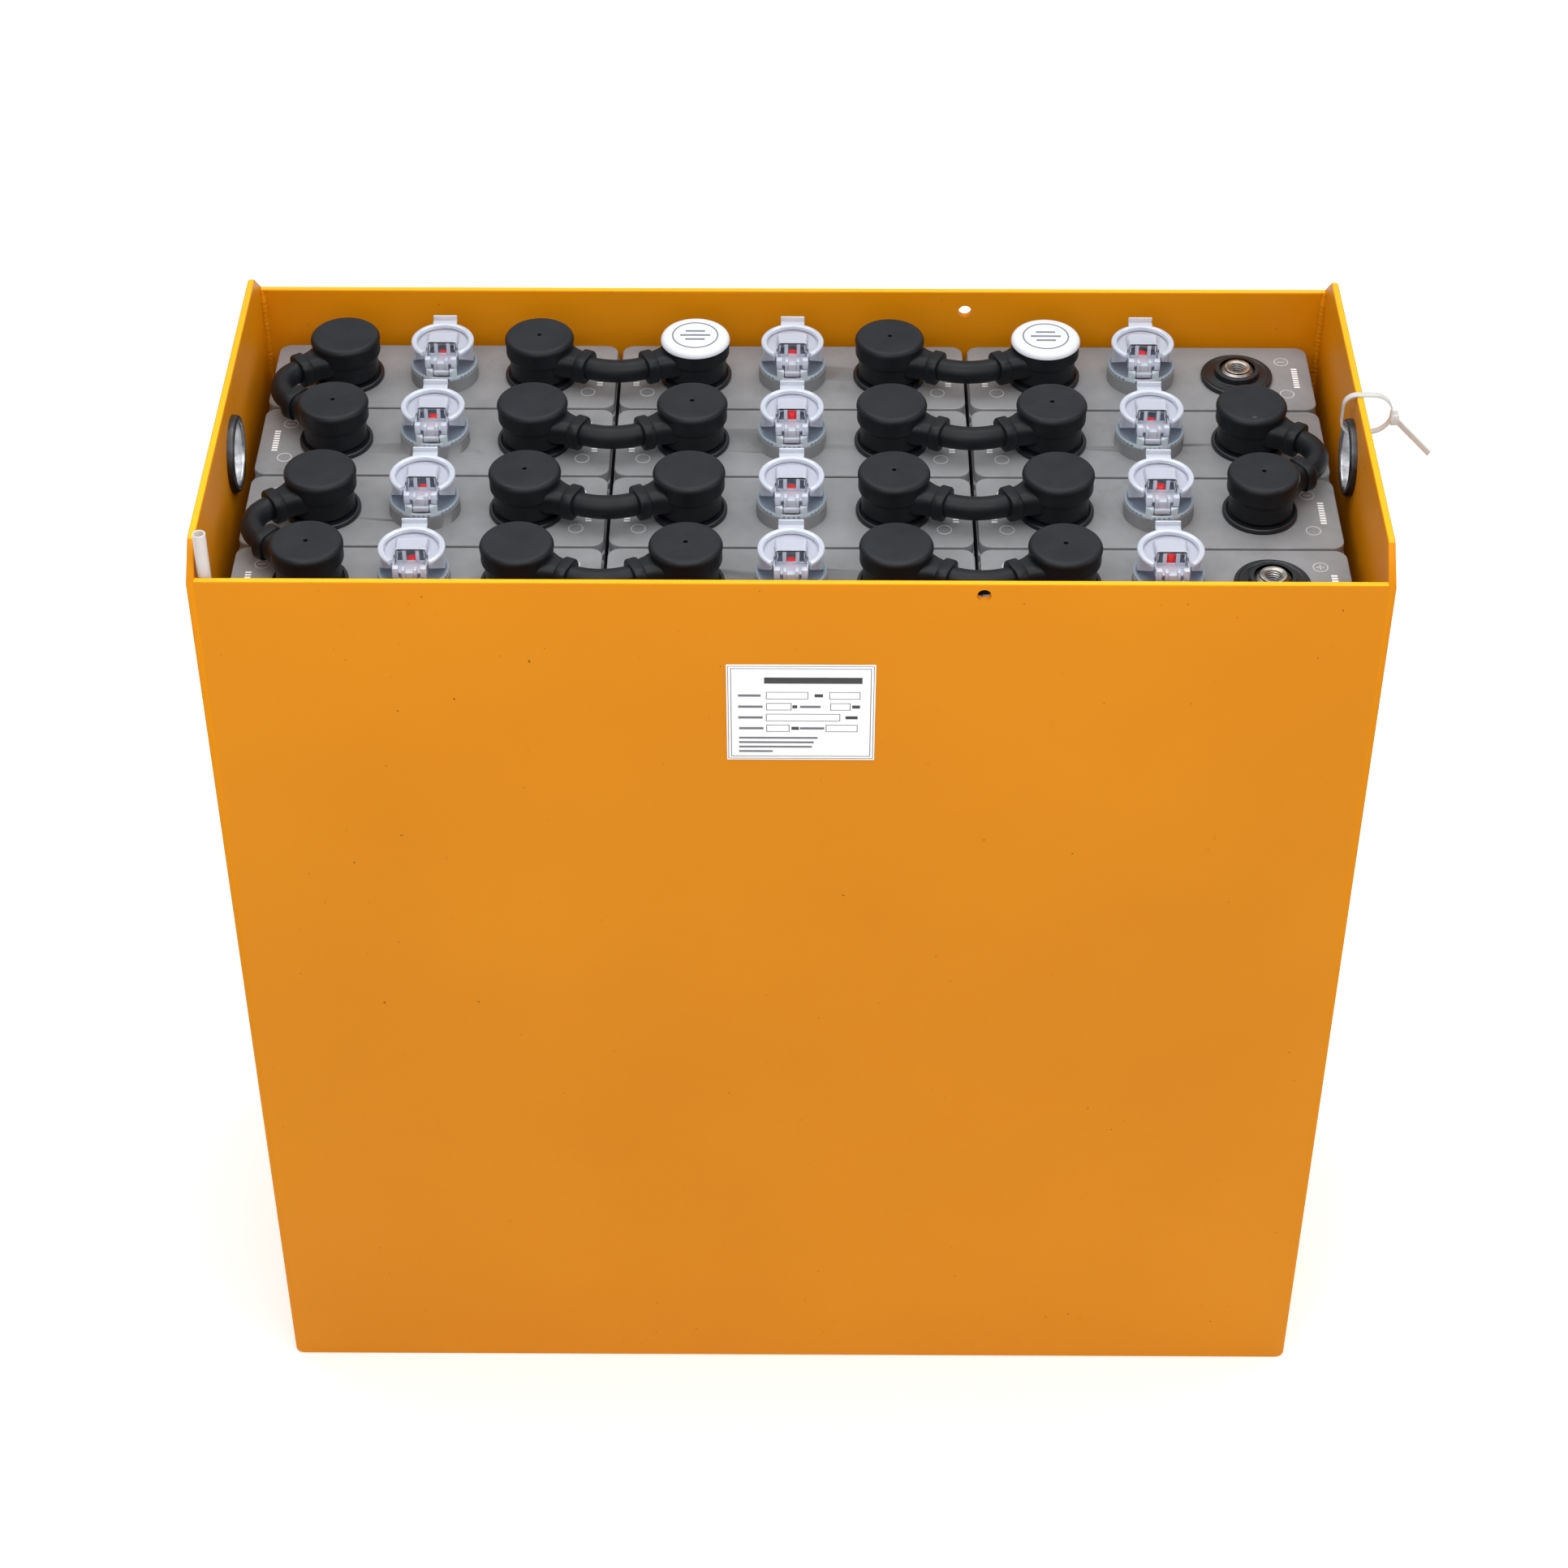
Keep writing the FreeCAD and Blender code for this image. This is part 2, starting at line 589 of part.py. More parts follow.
def vent_body():
    """Plug with a dished flange, a neck in the filler, a float guide and the hinge's lugs and pin."""
    seat = plug_seat()
    deck = seat + PLUG_THICKNESS
    brim = deck + PLUG_RIM_HEIGHT
    rim = PLUG_DIAMETER / 2
    neck = FILLER_BORE / 2 - PRESS_GAP
    guide = GUIDE_BORE / 2
    ceiling = seat - OVERLAP
    guide_foot = LID_TOP - GUIDE_DEPTH
    neck_foot = LID_TOP - PLUG_NECK_DEPTH
    body = turned([(guide, guide_foot), (guide + GUIDE_WALL, guide_foot), (guide + GUIDE_WALL, ceiling),
                   (neck - PLUG_NECK_WALL, ceiling), (neck - PLUG_NECK_WALL, neck_foot), (neck, neck_foot),
                   (neck, seat), (rim, seat), (rim, brim), (rim - PLUG_RIM_WIDTH, brim),
                   (rim - PLUG_RIM_WIDTH, deck), (guide, deck)])
    parts = [hinge_cylinder(PIN_DIAMETER, -HINGE_WIDTH / 2, HINGE_WIDTH / 2)]
    for side in (-1, 1):
        x0, x1 = sorted((side * (KNUCKLE_WIDTH / 2 + LUG_GAP), side * HINGE_WIDTH / 2))
        parts.append(hinge_cylinder(BARREL_DIAMETER, x0, x1))
        parts.append(box(x0, x1, HINGE_Y - LUG_FRONT, HINGE_Y + BARREL_DIAMETER / 2, deck - OVERLAP,
                         LID_TOP + HINGE_HEIGHT))
    return body.fuse(parts).common(cylinder(PLUG_DIAMETER, guide_foot, LID_TOP + LID_HEIGHT))


def dome(grow, foot, top):
    """Block of the dome's outline, its upper back edge rounded."""
    half = DOME_WIDTH / 2 - grow
    back_y = DOME_BACK - grow
    block = box(-half, half, LID_CHORD + grow, back_y, foot, top)
    upper = edges_where(block, lambda e: level_at(e, top))
    back = [e for e in upper if all(abs(v.Y - back_y) < SAME for v in e.Vertexes)]
    return block.makeFillet(DOME_ROUND - grow, back)


def vent_lid():
    """Clear flip lid: skirt, rolled ring, sunk panel, windowed dome, hinge knuckle and finger tab."""
    foot = plug_seat() + PLUG_THICKNESS + LID_OPEN_CLEARANCE
    top = LID_TOP + LID_HEIGHT
    panel = top - LID_RECESS
    skirt = LID_SKIRT_DIAMETER / 2
    ring = LID_RING_DIAMETER / 2
    inside = ring - LID_RING_WIDTH
    ring_foot = top - LID_RING_HEIGHT
    shell = turned([(skirt - LID_WALL, foot), (skirt, foot), (skirt, ring_foot), (ring, ring_foot),
                    (ring, (ring_foot + top) / 2), (ring - LID_RING_ROUND, top),
                    (inside + LID_RING_DISH, top), (inside, panel), (0, panel), (0, panel - LID_WALL),
                    (skirt - LID_WALL, panel - LID_WALL)])
    front = box(-ring, ring, -ring - OVERLAP, LID_CHORD, foot - OVERLAP, top + OVERLAP)
    dome_foot = LID_TOP + HINGE_HEIGHT - BARREL_DIAMETER / 2 + OVERLAP
    dome_top = top + DOME_RISE
    shell = shell.cut(front).fuse(dome(0, dome_foot, dome_top))
    shell = shell.cut(dome(LID_WALL, dome_foot - OVERLAP, dome_top - LID_WALL))
    shell = shell.cut(Part.makeCompound(windows())).fuse(finger_tab(ring, top))
    half = KNUCKLE_WIDTH / 2
    arm = box(-half, half, HINGE_Y, LID_CHORD + LID_WALL, dome_foot, dome_foot + 2 * LID_WALL)
    knuckle = hinge_cylinder(BARREL_DIAMETER, -half, half)
    bore = hinge_cylinder(PIN_DIAMETER + 2 * PIN_GAP, -half - OVERLAP, half + OVERLAP)
    return shell.fuse([arm, knuckle]).cut(bore).removeSplitter()


def windows():
    """Three vents through the dome's front wall, between two pillars."""
    z0 = LID_TOP + WINDOW_FOOT
    spans = [(-WINDOW_WIDTH / 2, WINDOW_WIDTH / 2)]
    near = WINDOW_WIDTH / 2 + PILLAR_WIDTH
    for side in (-1, 1):
        spans.append(tuple(sorted((side * near, side * (near + SIDE_WINDOW_WIDTH)))))
    y0 = LID_CHORD - OVERLAP
    y1 = LID_CHORD + LID_WALL + OVERLAP
    return [box(x0, x1, y0, y1, z0, z0 + WINDOW_HEIGHT) for x0, x1 in spans]


def finger_tab(ring, top):
    """Tab behind the ring, turned up at its end."""
    half = TAB_WIDTH / 2
    back = ring + TAB_REACH
    shelf = box(-half, half, ring - LID_RING_WIDTH + OVERLAP, back, top - TAB_THICKNESS, top)
    lip = box(-half, half, back - TAB_THICKNESS, back, top - TAB_THICKNESS, top + TAB_LIP - TAB_THICKNESS)
    return shelf.fuse(lip)


def level_float(tip):
    """Red rod with a bulb at its foot. Its tip shows in the lid's dome."""
    top = LID_TOP + tip
    bulb_top = top - (FLOAT_TOP_HIGH + GUIDE_DEPTH + SEAT_GAP)
    rod = cylinder(FLOAT_ROD, bulb_top - OVERLAP, top)
    rod = rod.makeFillet(FLOAT_TIP_ROUND, edges_where(rod, lambda e: level_at(e, top)))
    return rod.fuse(cylinder(FLOAT_BULB_DIAMETER, bulb_top - FLOAT_BULB_HEIGHT, bulb_top)).removeSplitter()


# Loose fittings on the tray

def suction_tube():
    """Tube down to the tray's floor, to draw off spilt acid."""
    x = -HALF_LENGTH + SHEET + TUBE_WALL_GAP + TUBE_DIAMETER / 2
    y = -HALF_WIDTH + SHEET + SEAT_GAP + TUBE_DIAMETER / 2
    foot = SHEET + TUBE_FOOT_GAP
    top = END_HEIGHT + TUBE_PROUD
    bore = cylinder(TUBE_DIAMETER - 2 * TUBE_WALL, foot - OVERLAP, top + OVERLAP, x, y)
    return cylinder(TUBE_DIAMETER, foot, top, x, y).cut(bore)


def tie_loop(grow):
    """Block of the loop's outline, with tighter corners on the wall's inside than on its outside."""
    x0 = HALF_LENGTH - SHEET - TIE_INSIDE - grow
    x1 = HALF_LENGTH + TIE_OUTSIDE + grow
    z1 = END_HEIGHT + SEAT_GAP + grow
    z0 = END_HEIGHT + SEAT_GAP - TIE_DROP - grow
    block = box(x0, x1, TIE_Y - TIE_WIDTH / 2, TIE_Y + TIE_WIDTH / 2, z0, z1)
    block = block.makeFillet(TIE_CORNER + grow, edges_where(block, lambda e: crosses(e) and at_x(e, x0)))
    bow = (TIE_DROP - TIE_STRAIGHT) / 2
    return block.makeFillet(bow + grow, edges_where(block, lambda e: crosses(e) and at_x(e, x1)))


def cable_tie():
    """Nylon tie: loop, head and free tail."""
    loop = tie_loop(TIE_THICKNESS).cut(tie_loop(0))
    hx, hy, hz = TIE_HEAD
    x = HALF_LENGTH + TIE_OUTSIDE
    z = END_HEIGHT - TIE_LOCK_DROP
    lock = box(x, x + hx, TIE_Y - hy / 2, TIE_Y + hy / 2, z - hz / 2, z + hz / 2)
    run = Vector(*TIE_TAIL)
    across = run.cross(UP).normalize() * (TIE_THICKNESS / 2)
    lift = run.cross(across).normalize() * (TIE_WIDTH / 2)
    foot = Vector(x + hx / 2, TIE_Y, z)
    corners = [foot + across + lift, foot - across + lift, foot - across - lift, foot + across - lift]
    return loop.fuse([lock, prism(corners, run)])


def placed(shape, x, y):
    copy = shape.copy()
    copy.translate(Vector(x, y, 0))
    return copy


def save(name, shapes):
    """Writes one node: a solid, or a group of separate solids."""
    solids = [s for shape in shapes for s in shape.Solids]
    whole = solids[0] if len(solids) == 1 else Part.makeCompound(solids)
    if not all(s.isValid() for s in solids):
        print("not valid:", name)
    whole.exportStep(f"parts/{name}.step")
    return len(solids)


def has_test_hole(row, side):
    """Every second pole's cap has a test hole: the right ones in the back row, the left ones in the next."""
    return (row + (side > 0)) % 2 == 1


def has_white_cap(row, column, side):
    """The two left poles in the back row that follow a link carry white caps."""
    return row == 0 and side < 0 and column > 0


def main():
    os.makedirs("parts", exist_ok=True)
    save("tray_channel", [tray_channel()])
    save("tray_front_plate", [side_plate(-1, FRONT_HOLE_DROP)])
    save("tray_back_plate", [side_plate(1, BACK_HOLE_DROP)])
    save("lifting_eyes", [lifting_eye(-1), lifting_eye(1)])
    save("suction_tube", [suction_tube()])
    save("cable_tie", [cable_tie()])
    save_cells()
    save_poles()
    save_links()


def save_cells():
    cell = jar_and_lid()
    plug = vent_body()
    cover = vent_lid()
    plugs = []
    packs = []
    for number, (row, column) in enumerate(series_order(), 1):
        x, y = cell_centre(row, column)
        save(f"cell_{number:02d}", [placed(cell, x, y)])
        save(f"vent_lid_{number:02d}", [placed(cover, x, y)])
        save(f"float_{number:02d}", [placed(level_float(FLOAT_TIPS[row][column]), x, y)])
        plugs.append(placed(plug, x, y))
        packs += [placed(plate_group(row, positive), x, y) for positive in (True, False)]
    save("vent_bodies", plugs)
    save("plate_packs", packs)


def each_pole():
    cells = [(row, column) for row in range(CELL_ROWS) for column in range(CELL_COLUMNS)]
    return [(row, column, side) for row, column in cells for side in (-1, 1)]


def save_poles():
    """Poles and seals on every cell, bolts and caps on all but the battery's own two terminals."""
    groups = {"poles": [], "pole_seals": [], "link_bolts": [], "black_caps": [], "white_caps": []}
    linked = {(round(x, 3), round(y, 3)) for pair in link_ends() for x, y in pair}
    for row, column, side in each_pole():
        x, y = pole_centre(row, column, side)
        groups["poles"].append(placed(pole(), x, y))
        groups["pole_seals"].append(placed(pole_seal(), x, y))
        if (round(x, 3), round(y, 3)) not in linked:
            continue
        groups["link_bolts"].append(placed(link_bolt(), x, y))
        if has_white_cap(row, column, side):
            groups["white_caps"].append(placed(cap(False), x, y))
        else:
            groups["black_caps"].append(placed(cap(has_test_hole(row, side)), x, y))
    for name, shapes in groups.items():
        save(name, shapes)


def save_links():
    """Links along a row bow to the front, links from row to row bow to the end wall."""
    for number, (start, end) in enumerate(link_ends(), 1):
        if abs(start[1] - end[1]) < ROW_PITCH / 2:
            ends, angle = sorted((start, end)), ROW_LINK_ANGLE
        else:
            ends, angle = sorted((start, end), key=lambda p: p[1] * start[0]), STEP_LINK_ANGLE
        save(f"link_{number:02d}", [link(ends[0], ends[1], angle)])


main()
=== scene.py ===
"""Looks of the forklift traction battery: paint, rubber, clear plastic and metal around its fixed CAD frame."""
import math
import random

import bmesh
import bpy
from mathutils import Matrix, Vector


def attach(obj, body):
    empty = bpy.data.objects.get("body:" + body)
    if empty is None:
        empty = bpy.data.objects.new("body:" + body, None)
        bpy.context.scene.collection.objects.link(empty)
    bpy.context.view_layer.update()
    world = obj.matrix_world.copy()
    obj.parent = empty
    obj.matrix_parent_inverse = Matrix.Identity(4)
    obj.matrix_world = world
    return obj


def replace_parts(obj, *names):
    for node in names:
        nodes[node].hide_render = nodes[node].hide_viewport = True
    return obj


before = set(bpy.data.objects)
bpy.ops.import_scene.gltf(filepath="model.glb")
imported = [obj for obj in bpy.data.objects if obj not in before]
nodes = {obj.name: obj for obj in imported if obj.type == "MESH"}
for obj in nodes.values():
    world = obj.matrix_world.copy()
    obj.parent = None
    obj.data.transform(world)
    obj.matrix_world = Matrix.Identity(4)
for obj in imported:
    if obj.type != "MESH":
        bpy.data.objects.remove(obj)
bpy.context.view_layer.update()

# Sizes in millimetres, heights above the cell lids where named so
MM = 0.001
LID_TOP = 578.0
COLUMN_PITCH = 200.0
ROW_PITCH = 66.0
COLUMNS = 3
ROWS = 4
POLE_OFFSET = 55.5
TRAY_LENGTH = 624.0
TRAY_WIDTH = 284.0
SIDE_HEIGHT = 611.0
SHEET = 4.0
EYE_HEIGHT = 592.0
EYE_RADIUS = 17.0
HINGE_Y = -16.0
ROUND_SEGMENTS = 64
SMOOTH_ANGLE = math.radians(35)

# Camera, at the photograph's viewing angle
CAMERA_PLACE = (4.5, -1521.8, 1655.1)
CAMERA_PITCH = 40.53
CAMERA_TURN = 0.33
CAMERA_LENS = 77.0
SENSOR = 36.0

# Light that has no lamp of its own
WORLD_STRENGTH = 0.53
FLOOR_GLOW = 0.30


# Places

def cell_centre(row, column):
    """Rows run from the back, columns from the left."""
    return (column - (COLUMNS - 1) / 2) * COLUMN_PITCH, ((ROWS - 1) / 2 - row) * ROW_PITCH


def series_order():
    order = []
    for turn, row in enumerate(reversed(range(ROWS))):
        columns = list(range(COLUMNS))
        if turn % 2 == 0:
            columns.reverse()
        order += [(row, column) for column in columns]
    return order


def pole_places():
    return [(row, column, side, cell_centre(row, column)[0] + side * POLE_OFFSET, cell_centre(row, column)[1])
            for row in range(ROWS) for column in range(COLUMNS) for side in (-1, 1)]


def is_open(row, column, side):
    """The battery's own two terminals, at the right end of the first and last rows, carry no link."""
    return row in (0, ROWS - 1) and column == COLUMNS - 1 and side > 0


def is_white(row, column, side):
    return row == 0 and side < 0 and column > 0


def has_test_hole(row, side):
    return (row + (side > 0)) % 2 == 1


# Meshes

def as_object(name, mesh, body, materials):
    finishes = [polygon.material_index for polygon in mesh.polygons]
    mesh.materials.clear()
    for material in materials:
        mesh.materials.append(material)
    for polygon, finish in zip(mesh.polygons, finishes):
        polygon.use_smooth = True
        polygon.material_index = min(finish, len(materials) - 1)
    mesh.set_sharp_from_angle(angle=SMOOTH_ANGLE)
    piece = bpy.data.objects.new(name, mesh)
    bpy.context.scene.collection.objects.link(piece)
    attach(piece, body)
    return piece


def from_bmesh(name, bm, body, materials):
    """Takes a mesh in millimetres."""
    mesh = bpy.data.meshes.new(name)
    bmesh.ops.scale(bm, vec=(MM, MM, MM), verts=bm.verts)
    bmesh.ops.recalc_face_normals(bm, faces=bm.faces)
    bm.to_mesh(mesh)
    bm.free()
    return as_object(name, mesh, body, materials)


def finished(node, body, materials, edge=0.0):
    """A fine copy of a CAD node, with its sharp edges broken, that stands for it."""
    bm = bmesh.new()
    bm.from_mesh(nodes[node].data)
    bmesh.ops.remove_doubles(bm, verts=bm.verts, dist=2e-6)
    bmesh.ops.dissolve_limit(bm, angle_limit=math.radians(0.5), verts=bm.verts, edges=bm.edges)
    if edge:
        sharp = [e for e in bm.edges if len(e.link_faces) == 2 and e.calc_face_angle() > SMOOTH_ANGLE]
        bmesh.ops.bevel(bm, geom=sharp, offset=edge * MM, offset_type="OFFSET", segments=2, profile=0.5,
                        affect="EDGES", clamp_overlap=True)
    for face in bm.faces:
        face.material_index = 0
    mesh = bpy.data.meshes.new(node + "_skin")
    bm.to_mesh(mesh)
    bm.free()
    piece = as_object(node + "_skin", mesh, body, materials)
    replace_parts(piece, node)
    return piece


def rounded(corners, steps=5):
    """Polyline through (x, y, radius) corners, each turned into an arc of that radius."""
    points = []
    for k, (x, y, radius) in enumerate(corners):
        here = Vector((x, y))
        if radius <= 0 or k in (0, len(corners) - 1):
            points.append(here)
            continue
        before = (Vector(corners[k - 1][:2]) - here).normalized()
        after = (Vector(corners[k + 1][:2]) - here).normalized()
        half = before.angle(after) / 2
        reach = radius / math.tan(half)
        centre = here + (before + after).normalized() * (radius / math.sin(half))
        start = here + before * reach - centre
        end = here + after * reach - centre
        sweep = start.angle_signed(end)
        for step in range(steps + 1):
            turn = -sweep * step / steps
            points.append(centre + Vector((start.x * math.cos(turn) - start.y * math.sin(turn),
                                           start.x * math.sin(turn) + start.y * math.cos(turn))))
    return points


def turned(bm, profile, place, segments=ROUND_SEGMENTS):
    """Surface turned round a vertical axis at place, from (radius, height) points."""
    rings = []
    for radius, height in profile:
        if radius < 1e-4:
            rings.append([bm.verts.new((place[0], place[1], height))])
            continue
        rings.append([bm.verts.new((place[0] + radius * math.cos(2 * math.pi * k / segments),
                                    place[1] + radius * math.sin(2 * math.pi * k / segments), height))
                      for k in range(segments)])
    for lower, upper in zip(rings, rings[1:]):
        for k in range(segments):
            after = (k + 1) % segments
            corners = [lower[k % len(lower)], lower[after % len(lower)],
                       upper[after % len(upper)], upper[k % len(upper)]]
            distinct = list(dict.fromkeys(corners))
            if len(distinct) > 2:
                bm.faces.new(distinct)


def skinned(bm, rings, close_ends=True):
    """Skin over rings of equally many points."""
    made = [[bm.verts.new(p) for p in ring] for ring in rings]
    count = len(made[0])
    for first, second in zip(made, made[1:]):
        for k in range(count):
            after = (k + 1) % count
            bm.faces.new((first[k], first[after], second[after], second[k]))
    if close_ends:
        bm.faces.new(list(reversed(made[0])))
        bm.faces.new(made[-1])


def swept(bm, section, place, first, last, steps=56):
    """Closed section of (radius, height above the cell lid) points, carried round a vertical axis."""
    rings = []
    for step in range(steps + 1):
        turn = first + (last - first) * step / steps
        rings.append([(place[0] + radius * math.cos(turn), place[1] + radius * math.sin(turn), LID_TOP + height)
                      for radius, height in section])
    skinned(bm, rings)


def rounded_rectangle(width, height, radius, steps=5):
    outline = []
    for corner, (sx, sy) in enumerate(((1, 1), (-1, 1), (-1, -1), (1, -1))):
        for step in range(steps + 1):
            turn = math.pi / 2 * (corner + step / steps)
            outline.append((sx * (width / 2 - radius) + radius * math.cos(turn),
                            sy * (height / 2 - radius) + radius * math.sin(turn)))
    return outline


def block(bm, centre, size, edge):
    """Box with broken edges."""
    made = bmesh.ops.create_cube(bm, size=1.0)
    bmesh.ops.scale(bm, vec=size, verts=made["verts"])
    bmesh.ops.translate(bm, vec=centre, verts=made["verts"])
    edges = list({e for v in made["verts"] for e in v.link_edges})
    bmesh.ops.bevel(bm, geom=edges, offset=edge, segments=2, profile=0.5, affect="EDGES")


# Materials

def new_material(name, colour, roughness, **sockets):
    """Principled material. Returns it with its node tree and shader."""
    material = bpy.data.materials.new(name)
    material.use_nodes = True
    tree = material.node_tree
    shader = tree.nodes["Principled BSDF"]
    shader.inputs["Base Color"].default_value = (*colour, 1)
    shader.inputs["Roughness"].default_value = roughness
    for key, value in sockets.items():
        shader.inputs[key.replace("_", " ")].default_value = value
    return material, tree, shader


def noise(tree, scale, detail=3.0, roughness=0.5):
    place = tree.nodes.new("ShaderNodeTexCoord")
    texture = tree.nodes.new("ShaderNodeTexNoise")
    texture.inputs["Scale"].default_value = scale
    texture.inputs["Detail"].default_value = detail
    texture.inputs["Roughness"].default_value = roughness
    tree.links.new(place.outputs["Object"], texture.inputs["Vector"])
    return texture.outputs["Fac"]


def ramp(tree, factor, stops):
    """Colour ramp over (position, colour) stops."""
    node = tree.nodes.new("ShaderNodeValToRGB")
    elements = node.color_ramp.elements
    elements[0].position, elements[0].color = stops[0][0], (*stops[0][1], 1)
    elements[1].position, elements[1].color = stops[-1][0], (*stops[-1][1], 1)
    for position, colour in stops[1:-1]:
        elements.new(position).color = (*colour, 1)
    tree.links.new(factor, node.inputs["Fac"])
    return node.outputs["Color"]


def mixed(tree, factor, first, second, mode="MIX"):
    node = tree.nodes.new("ShaderNodeMix")
    node.data_type = "RGBA"
    node.blend_type = mode
    for socket, value in ((node.inputs[0], factor), (node.inputs[6], first), (node.inputs[7], second)):
        if isinstance(value, (int, float)):
            socket.default_value = value
        elif isinstance(value, tuple):
            socket.default_value = (*value, 1)
        else:
            tree.links.new(value, socket)
    return node.outputs[2]


def bumps(tree, shader, layers):
    """Adds up (noise, strength, distance) layers of relief on the shader's normal."""
    normal = None
    for height, strength, distance in layers:
        node = tree.nodes.new("ShaderNodeBump")
        node.inputs["Strength"].default_value = strength
        node.inputs["Distance"].default_value = distance
        tree.links.new(height, node.inputs["Height"])
        if normal:
            tree.links.new(normal, node.inputs["Normal"])
        normal = node.outputs["Normal"]
    tree.links.new(normal, shader.inputs["Normal"])


def grey_range(tree, factor, low, high, start=0.3, end=0.7):
    """Maps a noise to a number between low and high."""
    node = tree.nodes.new("ShaderNodeMapRange")
    node.inputs["From Min"].default_value = start
    node.inputs["From Max"].default_value = end
    node.inputs["To Min"].default_value = low
    node.inputs["To Max"].default_value = high
    tree.links.new(factor, node.inputs["Value"])
    return node.outputs["Result"]


def paint(name, lift):
    """Orange powder coat: orange peel, faint clouds, dust specks. A lift above 1 gives a paler, yellower copy of the
    coat: a painted highlight for the up-facing rims.
    """
    material, tree, shader = new_material(name, (0.67, 0.235, 0.003), 0.44, Specular_IOR_Level=0.12)
    low, high = (0.655, 0.222, 0.0020), (0.700, 0.244, 0.0028)
    # A lift above 1 makes paler colours, a painted highlight along the rims.
    if lift > 1:
        low, high = (0.84, 0.228 * lift, 0.0032 * lift * lift), (0.90, 0.252 * lift, 0.0042 * lift * lift)
    clouds = ramp(tree, noise(tree, 5.0, 4.0), ((0.3, low), (0.7, high)))
    specks = ramp(tree, noise(tree, 260.0, 2.0, 0.6), ((0.0, (0, 0, 0)), (0.735, (0, 0, 0)), (0.78, (1, 1, 1))))
    colour = mixed(tree, specks, clouds, (0.16, 0.06, 0.01))
    tree.links.new(colour, shader.inputs["Base Color"])
    tree.links.new(grey_range(tree, noise(tree, 14.0, 4.0), 0.34, 0.46), shader.inputs["Roughness"])
    bumps(tree, shader, ((noise(tree, 6.0, 2.0), 0.08, 0.002), (noise(tree, 700.0, 2.0), 0.08, 0.0002)))
    return material


def jar_plastic():
    """Grey cell plastic, with handling stains."""
    material, tree, shader = new_material("grey_jar_plastic", (0.25, 0.25, 0.255), 0.5, Specular_IOR_Level=0.35)
    base = ramp(tree, noise(tree, 22.0, 6.0, 0.62), ((0.30, (0.178, 0.180, 0.187)), (0.55, (0.228, 0.230, 0.238)),
                                                    (0.75, (0.255, 0.258, 0.268))))
    stain = ramp(tree, noise(tree, 55.0, 8.0, 0.7), ((0.58, (0, 0, 0)), (0.76, (0.7, 0.7, 0.7))))
    colour = mixed(tree, stain, base, (0.14, 0.135, 0.13))
    tree.links.new(colour, shader.inputs["Base Color"])
    tree.links.new(grey_range(tree, noise(tree, 40.0, 4.0), 0.38, 0.62), shader.inputs["Roughness"])
    bumps(tree, shader, ((noise(tree, 900.0, 2.0), 0.08, 0.0002),))
    return material


def rubber(name, level, shine, gloss):
    """Moulded black rubber with a dull blue-grey bloom."""
    dark = (level, level * 1.14, level * 1.42)
    material, tree, shader = new_material(name, dark, shine, Specular_IOR_Level=gloss)
    bloom = ramp(tree, noise(tree, 60.0, 6.0, 0.6), ((0.35, dark), (0.8, tuple(c * 1.7 for c in dark))))
    tree.links.new(bloom, shader.inputs["Base Color"])
    tree.links.new(grey_range(tree, noise(tree, 90.0, 4.0), shine - 0.05, shine + 0.09), shader.inputs["Roughness"])
    bumps(tree, shader, ((noise(tree, 1100.0, 2.0), 0.10, 0.0002),))
    return material


def clear_plastic(name, colour, clearness):
    """Clear lid plastic, a little milky and blue."""
    material, tree, shader = new_material(name, colour, 0.14, Transmission_Weight=clearness,
                                          IOR=1.49, Coat_Weight=0.6, Coat_Roughness=0.08)
    tree.links.new(grey_range(tree, noise(tree, 200.0, 3.0), 0.10, 0.24), shader.inputs["Roughness"])
    bumps(tree, shader, ((noise(tree, 160.0, 2.0), 0.12, 0.0004),))
    return material


def plug_plastic():
    """Pale translucent plug."""
    material, tree, shader = new_material("pale_plug_plastic", (0.22, 0.27, 0.33), 0.28, Transmission_Weight=0.15)
    colour = ramp(tree, noise(tree, 120.0, 3.0), ((0.3, (0.19, 0.24, 0.30)), (0.7, (0.25, 0.30, 0.37))))
    tree.links.new(colour, shader.inputs["Base Color"])
    bumps(tree, shader, ((noise(tree, 800.0, 2.0), 0.06, 0.0002),))
    return material


def plain_plastic(name, colour, roughness, variation=0.12, **sockets):
    material, tree, shader = new_material(name, colour, roughness, **sockets)
    dark = tuple(c * (1 - variation) for c in colour)
    tree.links.new(ramp(tree, noise(tree, 150.0, 4.0), ((0.3, dark), (0.7, colour))), shader.inputs["Base Color"])
    bumps(tree, shader, ((noise(tree, 900.0, 2.0), 0.06, 0.0002),))
    return material


def metal(name, colour, roughness, dark=0.6):
    material, tree, shader = new_material(name, colour, roughness, Metallic=1.0)
    shade = ramp(tree, noise(tree, 180.0, 6.0, 0.65), ((0.35, tuple(c * dark for c in colour)), (0.65, colour)))
    tree.links.new(shade, shader.inputs["Base Color"])
    wear = grey_range(tree, noise(tree, 240.0, 4.0), roughness - 0.1, roughness + 0.15)
    tree.links.new(wear, shader.inputs["Roughness"])
    bumps(tree, shader, ((noise(tree, 500.0, 4.0), 0.15, 0.0003),))
    return material


